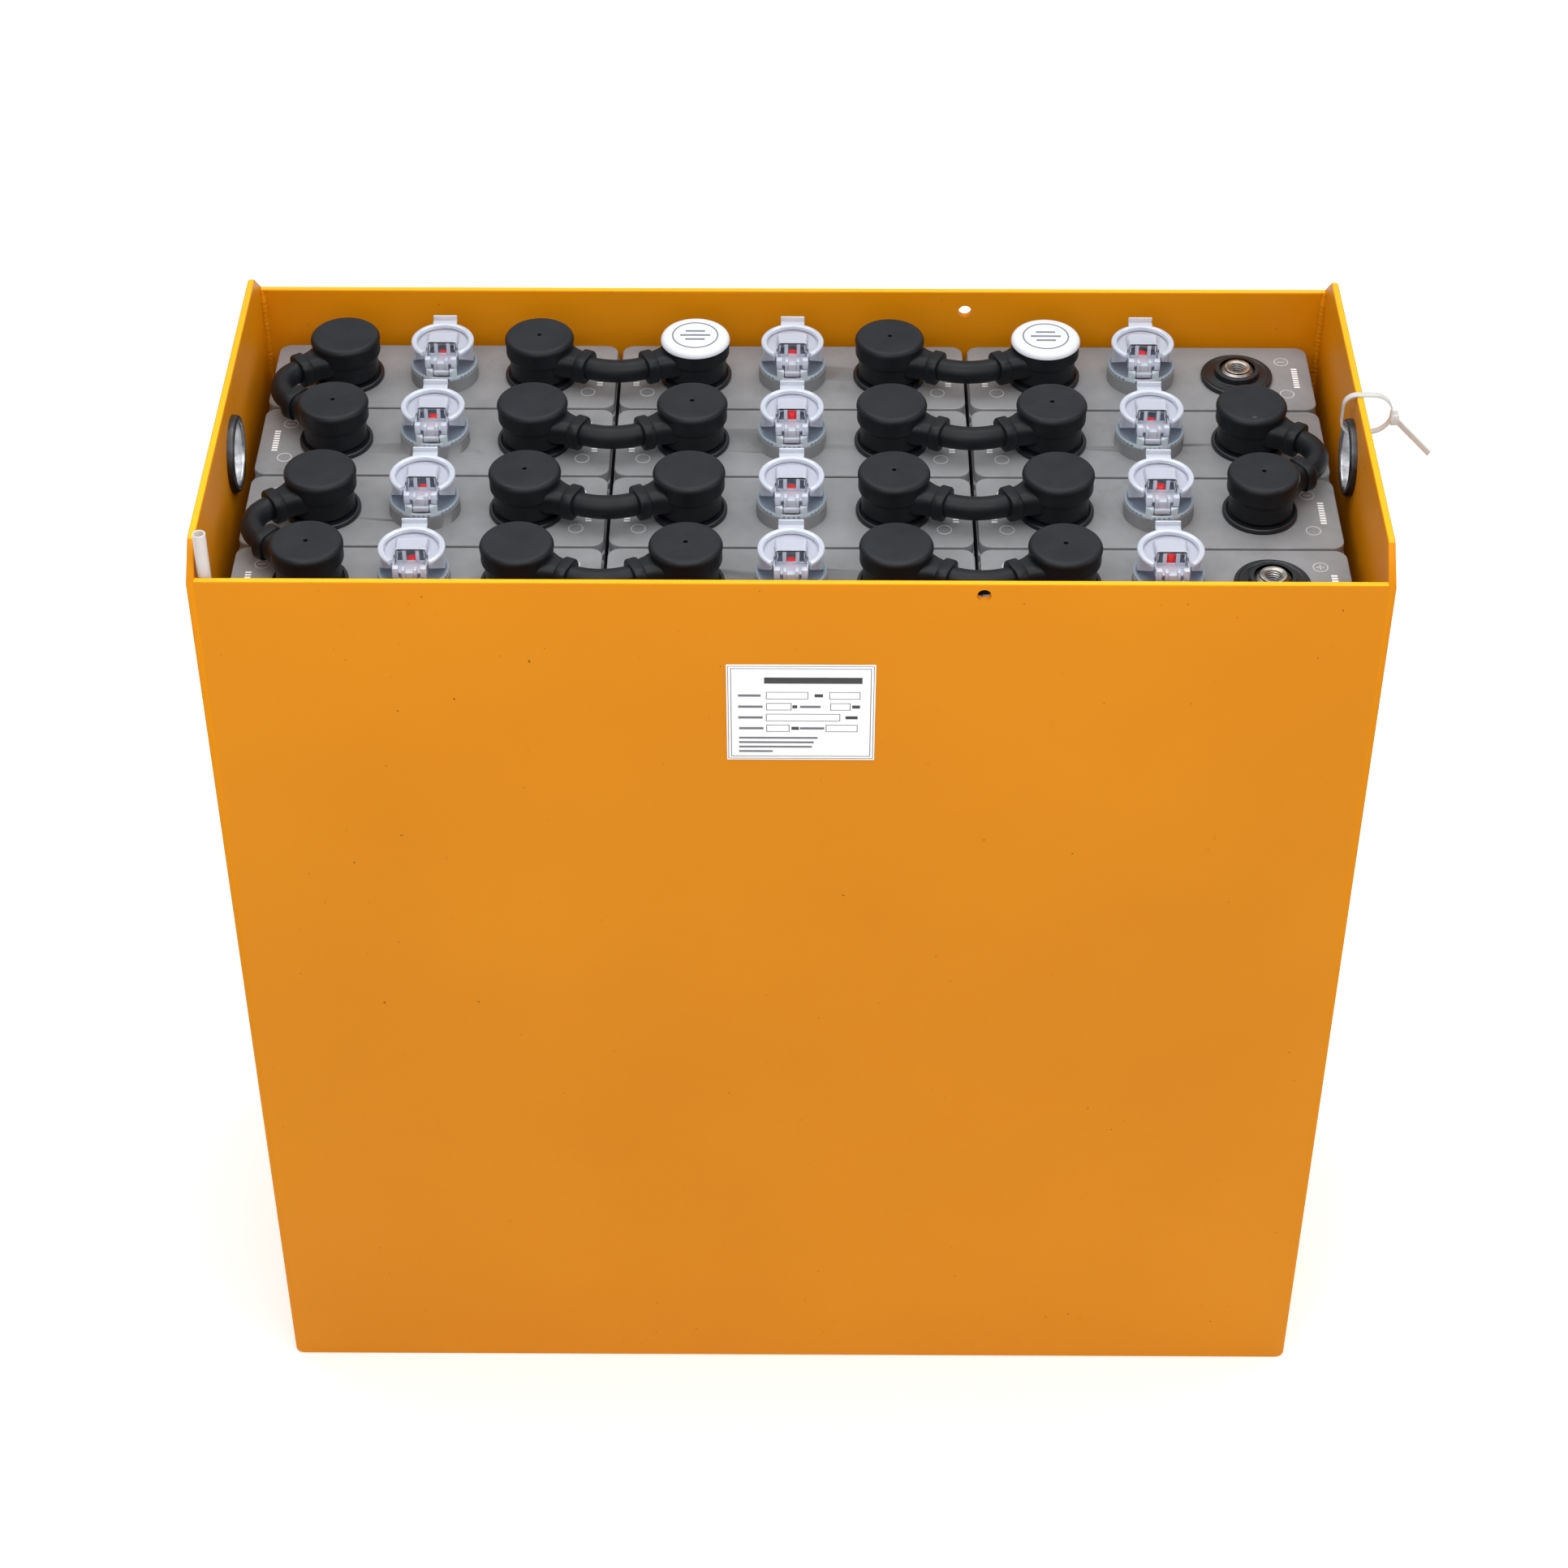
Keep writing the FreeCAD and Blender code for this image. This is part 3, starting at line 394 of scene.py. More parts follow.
ORANGE = paint("orange_powder_coat", 1.0)
# Paler paint for the up-facing rim faces: a painted highlight.
ORANGE_RIM_PAINTED_HIGHLIGHT = paint("orange_rim_painted_highlight", 1.75)
JAR = jar_plastic()
BLACK = rubber("black_link_rubber", 0.0055, 0.42, 0.20)
BLACK_CAP = rubber("black_cap_plastic", 0.0055, 0.40, 0.20)
# Lighter copy of the cap rubber for the up-facing cap tops: a painted sheen.
CAP_TOP_PAINTED_SHEEN = rubber("black_cap_top_painted_sheen", 0.0095, 0.42, 0.20)
SEAL = rubber("black_seal_rubber", 0.007, 0.30, 0.4)
CLEAR = clear_plastic("clear_lid_plastic", (0.86, 0.89, 1.0), 0.62)
CLEAR_EDGE = clear_plastic("frosted_lid_edge", (0.86, 0.90, 1.0), 0.55)
PLUG = plug_plastic()
PLUG_RIM = plain_plastic("plug_rim_plastic", (0.60, 0.67, 0.73), 0.25, 0.06, Transmission_Weight=0.15)
# The float's red emission is painted light, a glow that stands in for light let through the clear lid.
RED_PAINTED_GLOW = plain_plastic("red_float_painted_glow", (0.90, 0.03, 0.035), 0.4, Emission_Color=(0.9, 0.05, 0.05, 1), Emission_Strength=0.22)
WHITE = plain_plastic("white_cap_plastic", (0.66, 0.67, 0.71), 0.32, 0.04, Specular_IOR_Level=0.3)
NYLON = plain_plastic("natural_nylon", (0.72, 0.72, 0.69), 0.35, 0.08, Transmission_Weight=0.3)
MILKY = plain_plastic("milky_tube", (0.86, 0.80, 0.77), 0.25, 0.06, Transmission_Weight=0.35)
ZINC = metal("galvanised_steel", (0.62, 0.63, 0.66), 0.34)
DARK_ZINC = metal("rolled_steel_lip", (0.10, 0.10, 0.11), 0.42)
LEAD = metal("lead_alloy", (0.34, 0.34, 0.36), 0.5)
TERMINAL = metal("terminal_insert", (0.52, 0.48, 0.44), 0.34, 0.35)
BOLT = metal("bolt_steel", (0.55, 0.54, 0.52), 0.35)
LABEL_WHITE = plain_plastic("label_film", (0.95, 0.95, 0.95), 0.35, 0.03, Specular_IOR_Level=0.3)
INK = plain_plastic("label_ink", (0.035, 0.035, 0.04), 0.5, 0.1)
INK_GREY = plain_plastic("label_grey_ink", (0.16, 0.16, 0.18), 0.5, 0.1)
MOULDED = plain_plastic("moulded_mark", (0.50, 0.50, 0.51), 0.45, 0.1)
PRINT_WHITE = plain_plastic("white_print", (0.88, 0.88, 0.88), 0.5, 0.1)


# Carried over CAD nodes

def recolour(node, material):
    """A CAD node whose shape is right gets its finish."""
    data = nodes[node].data
    data.materials.clear()
    data.materials.append(material)


def lid_place(number):
    row, column = series_order()[number - 1]
    return cell_centre(row, column)


def add_eyes():
    """Bright bore, darker rolled lip."""
    piece = finished("lifting_eyes", "battery", [ZINC, DARK_ZINC])
    for polygon in piece.data.polygons:
        centre = polygon.center
        radius = math.hypot(centre.y / MM, centre.z / MM - EYE_HEIGHT)
        polygon.material_index = 1 if radius > EYE_RADIUS + 0.9 else 0


PLUG_RIM_RADIUS = 17.4
DECK_HEIGHT = 9.0
RING_RADIUS = 17.9
SKIRT_RADIUS = 17.2
PANEL_RADIUS = 15.2
SKIRT_FOOT = 10.2
SKIRT_SLANT = 0.72
HINGE_HEIGHT = 13.2
KNUCKLE_RADIUS = 2.3
PIN_BORE = 1.32
PANEL_TOP = 21.8
LID_CHORD = -14.2
WALL_Y = -4.5
TROUGH_FOOT = 16.4
DOME_SECTIONS = ((8.0, 8.9, 21.7), (7.7, 8.9, 24.0), (7.0, 8.85, 25.2), (5.8, 8.8, 25.9), (4.0, 8.7, 26.2),
                 (0.0, 8.3, 26.2), (-5.0, 7.9, 26.2))
DOME_SHOULDER = 1.8
DOME_WALL = 1.1
PANEL_FOOT = PANEL_TOP - 1.2
PANEL_REACH = 12.1
PANEL_OPENING = [(-8.3, WALL_Y), (-8.9, 8.0), (8.9, 8.0), (8.3, WALL_Y)]
SLEEVE_HALF = 4.2

# The lid's ring, as (radius, height, corner radius)
RING_CORNERS = [(14.9, 22.3, 0), (17.9, 22.4, 0.7), (17.9, 24.6, 1.2), (16.6, 25.0, 0.5), (14.9, 24.5, 0.5),
                (14.5, 22.9, 0)]

# The lid's bars, as (x0, x1, y0, y1, z0, z1). Of a pair, the right one is given
WALL_FRONT = WALL_Y - 0.5
WALL_BACK = WALL_Y + 0.5
TROUGH_FLOOR = [(-8.6, 8.6, -13.9, WALL_Y, TROUGH_FOOT, TROUGH_FOOT + 1.0)]
TROUGH_SIDES = [(8.3, 9.2, -13.9, WALL_BACK, TROUGH_FOOT, PANEL_TOP)]
WINDOW_RAILS = [(-8.0, 8.0, WALL_FRONT, WALL_BACK, 24.9, 26.1),
                (-8.0, 8.0, WALL_FRONT, WALL_BACK, TROUGH_FOOT, 18.4)]
WINDOW_PILLARS = [(2.45, 4.55, WALL_FRONT - 0.2, WALL_BACK, 18.0, 25.2),
                  (7.3, 8.1, WALL_FRONT, WALL_BACK, 18.0, 25.2)]
HINGE_EARS = [(5.6, 9.0, -17.2, -13.6, TROUGH_FOOT, 22.4), (2.2, 4.2, -17.5, -13.4, 14.8, 21.8)]
HINGE_WEB = [(-2.3, 2.3, -17.3, -13.4, 14.8, 19.8)]
FINGER_TAB = [(-6.9, 6.9, 14.9, 21.3, 23.2, 24.9), (-6.9, 6.9, 19.9, 21.3, 23.2, 27.6)]


def add_plugs():
    """Grey-blue plugs with a paler rim."""
    piece = finished("vent_bodies", "battery", [PLUG, PLUG_RIM], 0.25)
    centres = [Vector(lid_place(number)) for number in range(1, COLUMNS * ROWS + 1)]
    for polygon in piece.data.polygons:
        here = Vector((polygon.center.x / MM, polygon.center.y / MM))
        radius = min((here - centre).length for centre in centres)
        high = polygon.center.z / MM > LID_TOP + DECK_HEIGHT
        polygon.material_index = 1 if high and PLUG_RIM_RADIUS < radius < 18.9 else 0


def lid_arch(half, top, shoulder, foot):
    """Upside-down U of (across, height) points from the right foot to the left."""
    shoulder = max(0.05, min(shoulder, (top - foot) * 0.9))
    right = [(half, foot)]
    for step in range(7):
        turn = math.pi / 2 * step / 6
        right.append((half - shoulder + shoulder * math.cos(turn), top - shoulder + shoulder * math.sin(turn)))
    return right + [(-across, height) for across, height in reversed(right)]


def lid_dome(bm, x, y):
    """Scoop that narrows to its open front, rounded down to the panel behind."""
    rings = []
    for reach, half, top in DOME_SECTIONS:
        outer = lid_arch(half, top, DOME_SHOULDER, PANEL_FOOT)
        inner = lid_arch(half - DOME_WALL, max(top - DOME_WALL, PANEL_FOOT + 0.12), DOME_WALL, PANEL_FOOT)
        rings.append([(x + across, y + reach, LID_TOP + height) for across, height in outer + inner[::-1]])
    skinned(bm, rings)


def lid_panel(bm, x, y):
    """Sunk disc, open where the dome and the trough in front of it go through."""
    first = -math.asin(PANEL_REACH / PANEL_RADIUS)
    last = math.pi - first
    turns = [first + (last - first) * k / 48 for k in range(49)]
    outline = [(PANEL_RADIUS * math.cos(turn), PANEL_RADIUS * math.sin(turn)) for turn in turns]
    outline += PANEL_OPENING
    skinned(bm, [[(x + a, y + b, LID_TOP + height) for a, b in outline] for height in (PANEL_FOOT, PANEL_TOP)])


def lid_skirt(bm, x, y, first, last, steps=64):
    """Thin wall under the ring. Its foot climbs in front, where the plug's deck shows below it."""
    rings = []
    for step in range(steps + 1):
        turn = first + (last - first) * step / steps
        foot = max(SKIRT_FOOT, SKIRT_FOOT - SKIRT_SLANT * SKIRT_RADIUS * math.sin(turn))
        rings.append([(x + radius * math.cos(turn), y + radius * math.sin(turn), LID_TOP + height)
                      for radius, height in ((SKIRT_RADIUS - 1.2, foot), (SKIRT_RADIUS, foot),
                                             (SKIRT_RADIUS, 22.8), (SKIRT_RADIUS - 1.2, 22.8))])
    skinned(bm, rings)


def hinge_sleeve(bm, x, y, half):
    """Tube that turns on the plug's pin with a running clearance."""
    rings = []
    for across, radius in ((-half, KNUCKLE_RADIUS), (half, KNUCKLE_RADIUS), (half, PIN_BORE), (-half, PIN_BORE)):
        rings.append([(x + across, y + HINGE_Y + radius * math.cos(math.pi * k / 16),
                       LID_TOP + HINGE_HEIGHT + radius * math.sin(math.pi * k / 16)) for k in range(32)])
    skinned(bm, rings + rings[:1], close_ends=False)


def lid_bars(bm, x, y, bars, edge):
    """Boxes with broken edges from (x0, x1, y0, y1, z0, z1) around the lid's middle."""
    for x0, x1, y0, y1, z0, z1 in bars:
        block(bm, (x + (x0 + x1) / 2, y + (y0 + y1) / 2, LID_TOP + (z0 + z1) / 2), (x1 - x0, y1 - y0, z1 - z0), edge)


def on_both_sides(bars):
    return bars + [(-x1, -x0, y0, y1, z0, z1) for x0, x1, y0, y1, z0, z1 in bars]


def add_vent_lid(number):
    """Flip lid: skirt, panel, dome and trough in clear plastic, frosted ring, window bars, hinge block and tab."""
    x, y = lid_place(number)
    gap = math.acos(-LID_CHORD / RING_RADIUS)
    first, last = -math.pi / 2 + gap, math.pi * 1.5 - gap
    bm = bmesh.new()
    lid_skirt(bm, x, y, first, last)
    lid_panel(bm, x, y)
    lid_dome(bm, x, y)
    lid_bars(bm, x, y, TROUGH_FLOOR, 0.15)
    lid_bars(bm, x, y, on_both_sides(TROUGH_SIDES), 0.15)
    hinge_sleeve(bm, x, y, SLEEVE_HALF)
    clear = set(bm.faces)
    swept(bm, [tuple(p) for p in rounded(RING_CORNERS)], (x, y), first, last)
    lid_bars(bm, x, y, WINDOW_RAILS, 0.12)
    lid_bars(bm, x, y, on_both_sides(WINDOW_PILLARS), 0.2)
    lid_bars(bm, x, y, on_both_sides(HINGE_EARS), 0.55)
    lid_bars(bm, x, y, HINGE_WEB, 0.5)
    lid_bars(bm, x, y, FINGER_TAB, 0.6)
    for face in bm.faces:
        face.material_index = 0 if face in clear else 1
    piece = from_bmesh(f"vent_lid_{number:02d}_skin", bm, f"lid_{number:02d}", [CLEAR, CLEAR_EDGE])
    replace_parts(piece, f"vent_lid_{number:02d}")


def dress_frame():
    for node in ("tray_channel", "tray_front_plate", "tray_back_plate"):
        piece = finished(node, "battery", [ORANGE, ORANGE_RIM_PAINTED_HIGHLIGHT])
        for polygon in piece.data.polygons:
            # Up-facing faces along the top rim take the paler paint, a painted highlight.
            painted_highlight_rim = polygon.center.z / MM > SIDE_HEIGHT - 3.0 and polygon.normal.z > 0.8
            polygon.material_index = 1 if painted_highlight_rim else 0
    add_eyes()
    finished("suction_tube", "battery", [MILKY], 0.2)
    finished("cable_tie", "battery", [NYLON], 0.3)
    add_plugs()
    recolour("plate_packs", LEAD)
    recolour("link_bolts", BOLT)
    for number in range(1, COLUMNS * ROWS + 1):
        finished(f"cell_{number:02d}", "battery", [JAR])
        add_vent_lid(number)
        finished(f"float_{number:02d}", f"gauge_{number:02d}", [RED_PAINTED_GLOW])


# Caps, seals and link heads

def cap_profile(hole):
    start = [(1.25, 24.9, 0), (1.25, 28.1, 0.15)] if hole else [(0.0, 28.15, 0), (6.0, 28.12, 0)]
    corners = start + [(14.5, 28.0, 0), (19.75, 27.9, 3.1), (19.75, 24.6, 0.2), (15.2, 24.6, 0), (15.2, 19.6, 0)]
    return [(p.x, LID_TOP + p.y) for p in rounded(corners)]


def seal_profile():
    corners = [(10.2, 7.0, 0), (12.7, 7.0, 0.6), (12.7, 3.0, 0.8), (17.8, 2.2, 1.5), (18.6, 3.0, 0.5), (20.5, 3.0, 1.1),
               (20.5, 0.1, 0.3), (12.0, 0.1, 0)]
    return [(p.x, LID_TOP + p.y) for p in rounded(corners)]


def pole_profile(threaded):
    """Lead pole: foot, shaft, cone, spigot, and a bore with the thread's turns where it is open to view."""
    outer = [(0.0, -62.0, 0), (10.0, -62.0, 0), (10.0, 5.0, 0.3), (7.4, 6.9, 0.3), (7.35, 8.0, 0.35), (5.3, 8.0, 0.2)]
    points = [(p.x, LID_TOP + p.y) for p in rounded(outer)]
    if not threaded:
        return points + [(4.3, LID_TOP + 7.2), (4.3, LID_TOP - 14.0), (0.0, LID_TOP - 14.0)]
    for turn in range(14):
        top = LID_TOP + 7.4 - 1.5 * turn
        points += [(4.35, top), (4.35, top - 0.25), (5.0, top - 0.8), (5.0, top - 1.0)]
    return points + [(4.3, LID_TOP - 14.0), (0.0, LID_TOP - 14.0)]


def add_poles():
    bm = bmesh.new()
    for row, column, side, x, y in pole_places():
        turned(bm, pole_profile(is_open(row, column, side)), (x, y), 48)
    piece = from_bmesh("poles_skin", bm, "battery", [LEAD, TERMINAL])
    for polygon in piece.data.polygons:
        polygon.material_index = 1 if polygon.center.z / MM > LID_TOP + 4.0 else 0
    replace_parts(piece, "poles")


def head_profile():
    corners = [(15.6, 24.5, 0), (19.3, 24.5, 0.4), (19.35, 17.0, 1.2), (17.7, 14.0, 1.8), (17.3, 9.0, 6.0),
               (17.6, 4.4, 0.8), (16.6, 3.3, 0.4), (13.2, 3.3, 0)]
    return [(p.x, LID_TOP + p.y) for p in rounded(corners)]


def add_white_marks():
    """Generic marks on the white caps: a ring with three bars in it."""
    bm = bmesh.new()
    top = LID_TOP + 28.1
    for row, column, side, x, y in pole_places():
        if is_white(row, column, side):
            ring = [(13.2, top - 0.3), (13.2, top + 0.1), (12.5, top + 0.1), (12.5, top - 0.3)]
            turned(bm, ring, (x, y))
            for step, width in ((4.2, 11.0), (0.0, 17.0), (-4.2, 11.0)):
                block(bm, (x, y + step, top + 0.02), (width, 1.5, 0.18), 0.03)
    from_bmesh("white_cap_marks", bm, "battery", [INK_GREY])


def add_side_hole():
    """One cap, at the right end of the second row, has its test hole on the front shoulder."""
    x, y = cell_centre(1, COLUMNS - 1)
    bm = bmesh.new()
    top = LID_TOP + 27.95
    plug = [(0.0, top + 0.06), (1.1, top + 0.06), (1.3, top - 0.3), (0.0, top - 0.3)]
    turned(bm, plug, (x + POLE_OFFSET, y - 14.6), 24)
    from_bmesh("side_test_hole", bm, "battery", [INK])


def add_caps():
    black = bmesh.new()
    white = bmesh.new()
    seals = bmesh.new()
    for row, column, side, x, y in pole_places():
        turned(seals, seal_profile(), (x, y))
        if is_open(row, column, side):
            continue
        plain_white = is_white(row, column, side)
        turned(white if plain_white else black, cap_profile(has_test_hole(row, side) and not plain_white), (x, y))
    caps = from_bmesh("black_caps_skin", black, "battery", [BLACK_CAP, CAP_TOP_PAINTED_SHEEN])
    # Up-facing cap faces take the lighter rubber, a painted sheen.
    for polygon in caps.data.polygons:
        polygon.material_index = 1 if polygon.normal.z > 0.7 else 0
    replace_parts(caps, "black_caps")
    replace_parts(from_bmesh("white_caps_skin", white, "battery", [WHITE]), "white_caps")
    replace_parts(from_bmesh("pole_seals_skin", seals, "battery", [SEAL]), "pole_seals")


# Links, in the order of the circuit from the positive terminal

CABLE_HEIGHT = 14.5
CABLE_RADIUS = 6.5
NOZZLE_REACH = 32.0
NOZZLE_COLLAR = 6.0
ROW_LINK_ANGLE = 25.0
STEP_LINK_ANGLE = 55.0


def positive_side(row):
    return 1 if (ROWS - 1 - row) % 2 == 0 else -1


def link_ends():
    """Start, end and nozzle angle of each link. A link bows to its right, seen from its start."""
    order = series_order()
    links = []
    for (row_a, column_a), (row_b, column_b) in zip(order, order[1:]):
        ax, ay = cell_centre(row_a, column_a)
        bx, by = cell_centre(row_b, column_b)
        a = Vector((ax - positive_side(row_a) * POLE_OFFSET, ay, 0))
        b = Vector((bx + positive_side(row_b) * POLE_OFFSET, by, 0))
        if row_a == row_b:
            links.append((*sorted((a, b), key=lambda p: p.x), ROW_LINK_ANGLE))
        elif (b.y - a.y) * a.x > 0:
            links.append((a, b, STEP_LINK_ANGLE))
        else:
            links.append((b, a, STEP_LINK_ANGLE))
    return links


def nozzle_rings(pole, along):
    """Rounded sections from inside the head to the collar's mouth."""
    across = Vector((-along.y, along.x, 0))
    waist = NOZZLE_REACH - NOZZLE_COLLAR
    sections = ((10.0, 22.0, 15.0, 5.0), (17.0, 21.0, 15.0, 5.5), (21.0, 17.5, 14.6, 5.5),
                (waist - 0.6, 15.8, 14.2, 5.5), (waist - 0.3, 18.0, 15.4, 5.5),
                (waist + 0.4, 18.5, 16.0, 5.2), (NOZZLE_REACH - 0.9, 18.5, 16.0, 5.2),
                (NOZZLE_REACH - 0.2, 17.9, 15.5, 5.4), (NOZZLE_REACH, 16.8, 14.4, 5.4), (NOZZLE_REACH, 12.0, 11.6, 5.4))
    height = LID_TOP + CABLE_HEIGHT
    rings = []
    for reach, width, tall, radius in sections:
        centre = pole + along * reach
        rings.append([(centre.x + across.x * a, centre.y + across.y * a, height + b)
                      for a, b in rounded_rectangle(width, tall, radius)])
    return rings


def cable_rings(start, end, bulge, stations=28, around=32):
    """Circles along the arc through start, end and the bulge at its middle."""
    chord = end - start
    half = chord.length / 2
    rise = bulge.length
    radius = (half * half + rise * rise) / (2 * rise)
    centre = (start + end) / 2 + bulge - bulge.normalized() * radius
    spread = math.asin(half / radius)
    out, line = bulge.normalized(), chord.normalized()
    rings = []
    for station in range(stations + 1):
        turn = -spread + 2 * spread * station / stations
        normal = out * math.cos(turn) + line * math.sin(turn)
        point = centre + normal * radius
        ring = []
        for k in range(around):
            sweep = 2 * math.pi * k / around
            lift = Vector((0, 0, CABLE_RADIUS * math.sin(sweep)))
            ring.append(tuple(point + normal * (CABLE_RADIUS * math.cos(sweep)) + lift))
        rings.append(ring)
    return rings


def add_links():
    for number, (start, end, angle) in enumerate(link_ends(), 1):
        bm = bmesh.new()
        line = (end - start).normalized()
        right = Vector((line.y, -line.x, 0))
        turn = math.radians(angle)
        out_a = line * math.cos(turn) + right * math.sin(turn)
        out_b = line * -math.cos(turn) + right * math.sin(turn)
        for pole, along in ((start, out_a), (end, out_b)):
            turned(bm, head_profile(), (pole.x, pole.y))
            skinned(bm, nozzle_rings(pole, along))
        mouth_a = start + out_a * (NOZZLE_REACH - 1)
        mouth_b = end + out_b * (NOZZLE_REACH - 1)
        bulge = right * ((mouth_b - mouth_a).length / 2 * math.tan(turn / 2))
        lift = Vector((0, 0, LID_TOP + CABLE_HEIGHT))
        skinned(bm, cable_rings(mouth_a + lift, mouth_b + lift, bulge))
        piece = from_bmesh(f"link_{number:02d}_skin", bm, "battery", [BLACK])
        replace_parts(piece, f"link_{number:02d}")


# Label plate on the front wall

LABEL_CENTRE = (5.5, 525.5)
LABEL_SIZE = (79.0, 65.0)
LABEL_THICK = 0.5


def label_bar(bm, x, z, width, height):
    """Flat printed bar on the label, placed from its middle."""
    face = -TRAY_WIDTH / 2 - LABEL_THICK
    block(bm, (LABEL_CENTRE[0] + x, face, LABEL_CENTRE[1] + z), (width, 0.06, height), 0.01)


def label_frame(bm, x, z, width, height, line):
    for sign in (-1, 1):
        label_bar(bm, x, z + sign * (height - line) / 2, width, line)
        label_bar(bm, x + sign * (width - line) / 2, z, line, height - 2 * line)


def add_label():
    """White plate with a double border, a title bar, empty field boxes and plain bars for words."""
    plate = bmesh.new()
    block(plate, (LABEL_CENTRE[0], -TRAY_WIDTH / 2 - LABEL_THICK / 2, LABEL_CENTRE[1]),
          (LABEL_SIZE[0], LABEL_THICK, LABEL_SIZE[1]), 0.12)
    from_bmesh("label_plate", plate, "battery", [LABEL_WHITE])
    dark = bmesh.new()
    grey = bmesh.new()
    label_frame(grey, 0, 0, LABEL_SIZE[0] - 1.4, LABEL_SIZE[1] - 1.6, 0.4)
    label_frame(grey, 0, 0, LABEL_SIZE[0] - 4.4, LABEL_SIZE[1] - 4.6, 0.45)
    label_bar(dark, 6.5, 22.0, 52.0, 4.2)
    captions = ((-27.3, 11.8, 12.0), (-26.8, 4.2, 13.0), (-26.8, -3.2, 13.0), (-26.4, -10.6, 13.0),
                (5.0, 4.2, 11.0), (6.0, -10.6, 13.0))
    for x, z, width in captions:
        label_bar(grey, x, z, width, 1.6)
    for x, z, width in ((9.5, 11.8, 4.5), (-3.2, 4.2, 2.6), (29.3, 4.2, 4.2), (27.0, -3.2, 6.5), (-3.0, -10.6, 4.0)):
        label_bar(dark, x, z, width, 2.1)
    boxes = ((-7.3, 11.8, 22.5), (23.3, 11.8, 16.5), (-11.7, 4.2, 13.6), (21.0, 4.2, 10.8), (1.2, -3.2, 39.6),
             (-12.2, -10.6, 12.4), (21.8, -10.6, 17.0))
    for x, z, width in boxes:
        label_frame(grey, x, z, width, 5.0, 0.45)
    for row, width in enumerate((42.0, 40.0, 39.0, 18.0)):
        label_bar(grey, -33.0 + width / 2, -17.2 - 3.1 * row, width, 1.3)
    from_bmesh("label_print", dark, "battery", [INK])
    from_bmesh("label_lines", grey, "battery", [INK_GREY])


# Marks on the cell lids and welds in the tray's corners

MARK_X = 83.0
MARK_Y = 16.5
MARK_RADIUS = 4.2
PRINT_X = 89.5


def ring_mark(bm, x, y):
    """Thin raised ring on a cell lid."""
    z = LID_TOP
    turned(bm, [(MARK_RADIUS, z - 0.2), (MARK_RADIUS, z + 0.25), (MARK_RADIUS - 0.6, z + 0.25),
                (MARK_RADIUS - 0.6, z - 0.2)], (x, y), 32)


def add_marks():
    """Moulded polarity rings near the poles, and a plain row of printed bars at each end of a cell."""
    moulded = bmesh.new()
    printed = bmesh.new()
    for row in range(ROWS):
        for column in range(COLUMNS):
            cx, cy = cell_centre(row, column)
            for side in (-1, 1):
                x = cx + side * MARK_X
                ring_mark(moulded, x, cy + MARK_Y)
                ring_mark(moulded, x, cy - MARK_Y)
                block(moulded, (x, cy + MARK_Y, LID_TOP), (4.6, 0.7, 0.5), 0.08)
                if side == positive_side(row):
                    block(moulded, (x, cy + MARK_Y, LID_TOP), (0.7, 4.6, 0.5), 0.08)
                for step in range(9):
                    block(printed, (cx + side * PRINT_X, cy + (step - 4) * 2.3, LID_TOP), (3.3, 1.3, 0.16), 0.03)
    from_bmesh("moulded_marks", moulded, "battery", [MOULDED])
    from_bmesh("printed_bars", printed, "battery", [PRINT_WHITE])


def add_welds():
    """Rippled fillet welds up the tray's four inner corners, painted over."""
    bm = bmesh.new()
    chance = random.Random(7)
    for sx in (-1, 1):
        for sy in (-1, 1):
            corner = Vector((sx * (TRAY_LENGTH / 2 - SHEET - 0.6), sy * (TRAY_WIDTH / 2 - SHEET - 0.6), 0))
            rings = []
            for step in range(160):
                height = SIDE_HEIGHT - 1.0 - step * 0.9
                ripple = 2.2 + 0.16 * math.sin(step * 1.9) + chance.uniform(-0.08, 0.08)
                radius = ripple * min(1.0, 0.25 + step * 0.12)
                rings.append([(corner.x + radius * math.cos(2 * math.pi * k / 16),
                               corner.y + radius * math.sin(2 * math.pi * k / 16), height) for k in range(16)])
            skinned(bm, rings)
    from_bmesh("corner_welds", bm, "battery", [ORANGE])


# Floor, light and camera

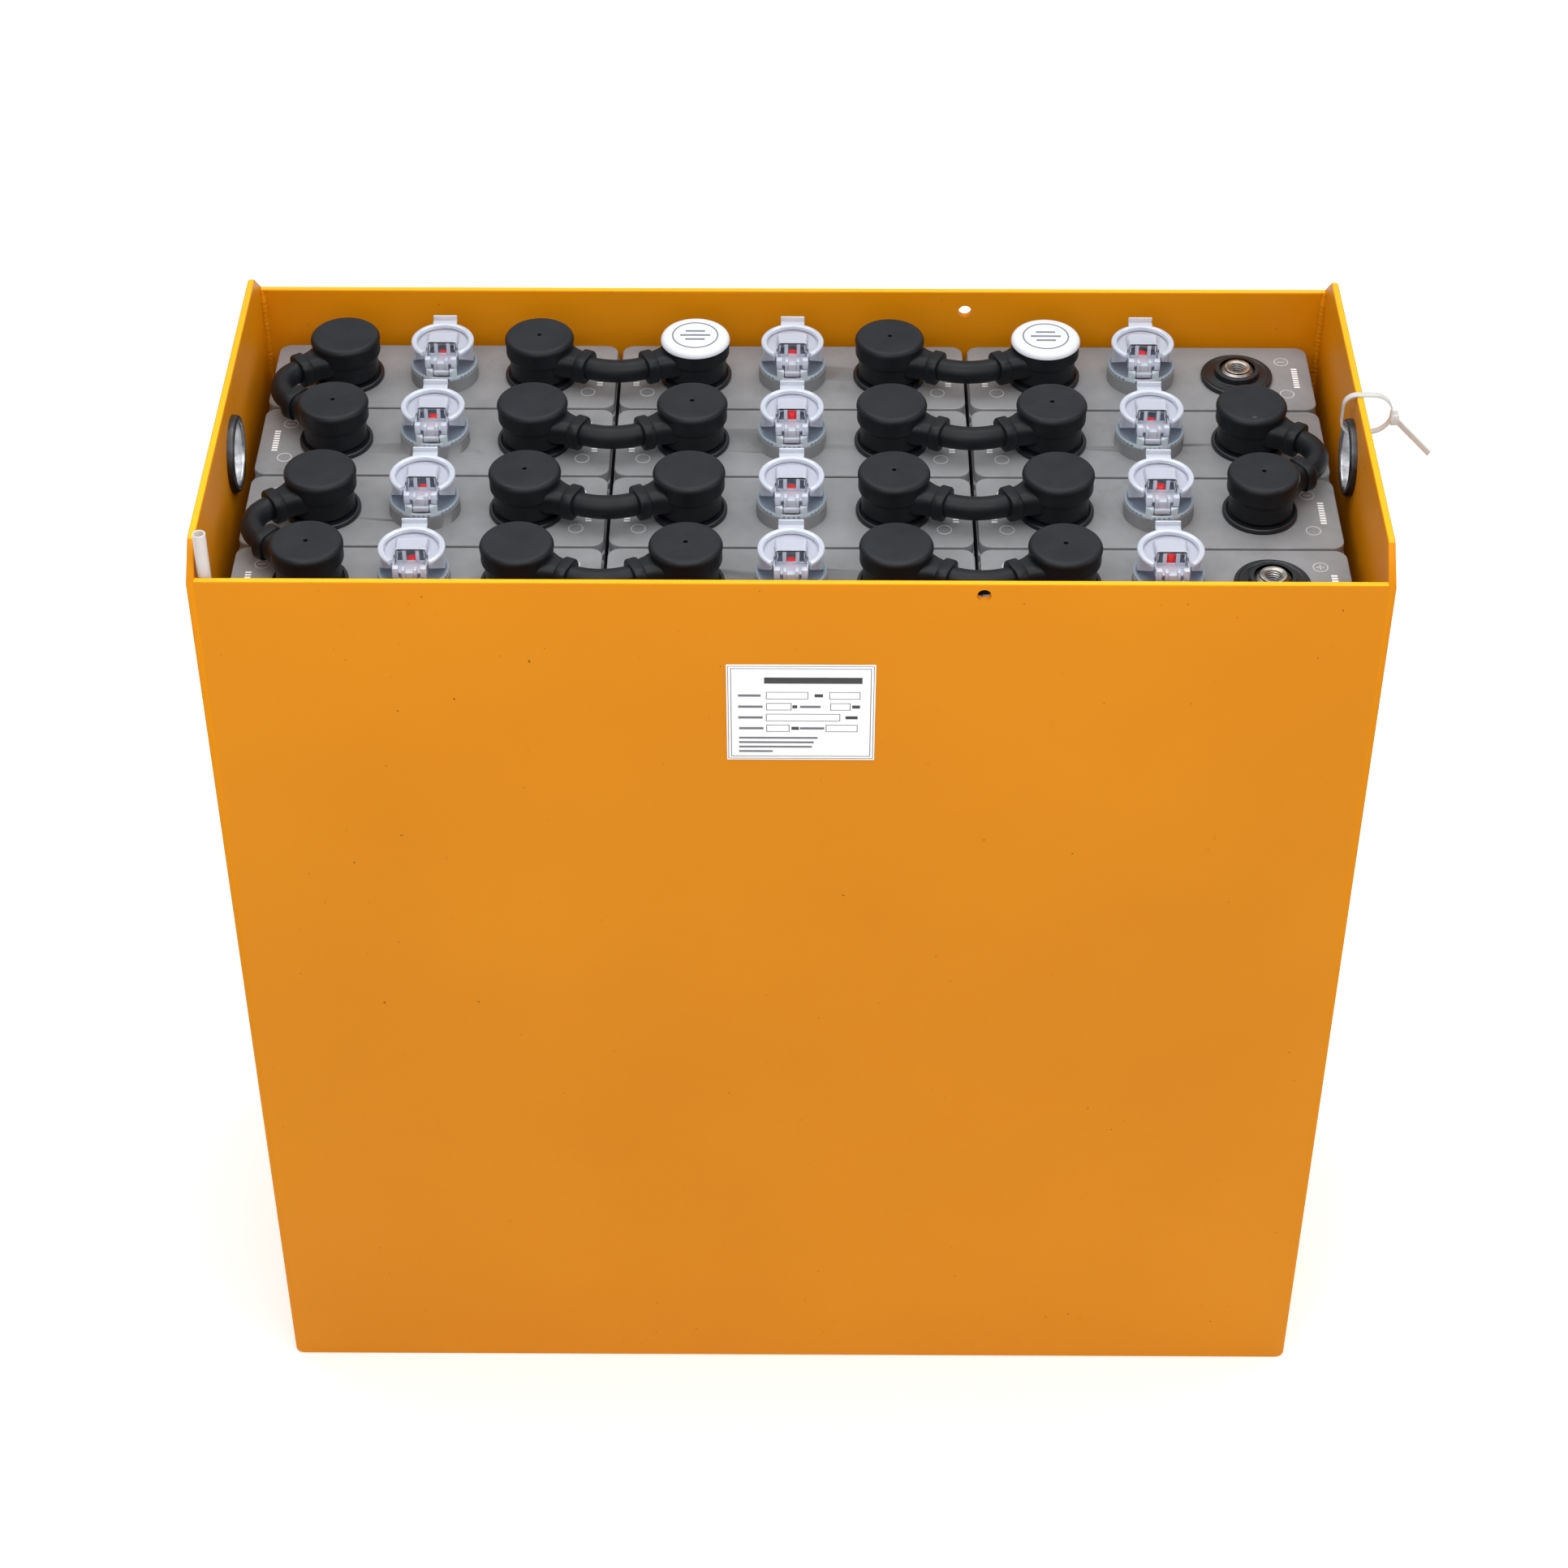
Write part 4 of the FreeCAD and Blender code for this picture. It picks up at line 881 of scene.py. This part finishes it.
def add_floor():
    bpy.ops.mesh.primitive_plane_add(size=12.0, location=(0, 1.0, -0.0005))
    floor = bpy.context.object
    floor.name = "floor"
    material, tree, shader = new_material("pale_floor", (0.97, 0.97, 0.97), 0.6, Emission_Color=(1, 1, 1, 1),
                                          Emission_Strength=FLOOR_GLOW)
    floor.data.materials.append(material)


def add_area(name, place, target, size, power, colour=(1, 1, 1)):
    light = bpy.data.lights.new(name, "AREA")
    light.shape = "RECTANGLE"
    light.size, light.size_y = size
    light.energy = power
    light.color = colour
    lamp = bpy.data.objects.new(name, light)
    bpy.context.scene.collection.objects.link(lamp)
    lamp.location = place
    lamp.rotation_euler = (Vector(target) - Vector(place)).to_track_quat("-Z", "Y").to_euler()


def add_light():
    world = bpy.data.worlds.new("studio")
    bpy.context.scene.world = world
    world.use_nodes = True
    background = world.node_tree.nodes["Background"]
    background.inputs["Color"].default_value = (0.97, 0.985, 1.0, 1)
    background.inputs["Strength"].default_value = WORLD_STRENGTH
    add_area("sky_panel", (0.0, 0.5, 2.8), (0, 0, 0.5), (2.6, 2.0), 42.0)
    add_area("front_panel", (-0.8, -3.0, 1.6), (0, 0, 0.35), (2.4, 1.6), 9.0)
    add_area("side_panel", (2.4, -0.6, 1.8), (0, 0, 0.5), (1.4, 1.4), 10.0)
    add_area("inner_fill", (0.0, -0.45, 1.25), (0, 0.14, 0.6), (1.0, 0.4), 4.2)


def add_camera():
    data = bpy.data.cameras.new("camera")
    data.lens = CAMERA_LENS
    data.sensor_width = SENSOR
    camera = bpy.data.objects.new("camera", data)
    camera.location = [c * MM for c in CAMERA_PLACE]
    camera.rotation_euler = (math.radians(90 - CAMERA_PITCH), 0, math.radians(CAMERA_TURN))
    bpy.context.scene.collection.objects.link(camera)
    bpy.context.scene.camera = camera


dress_frame()
add_poles()
add_caps()
add_side_hole()
add_white_marks()
add_links()
add_marks()
add_welds()
add_label()
add_floor()
add_light()
add_camera()
bpy.context.scene.view_settings.view_transform = "Standard"
bpy.context.view_layer.update()
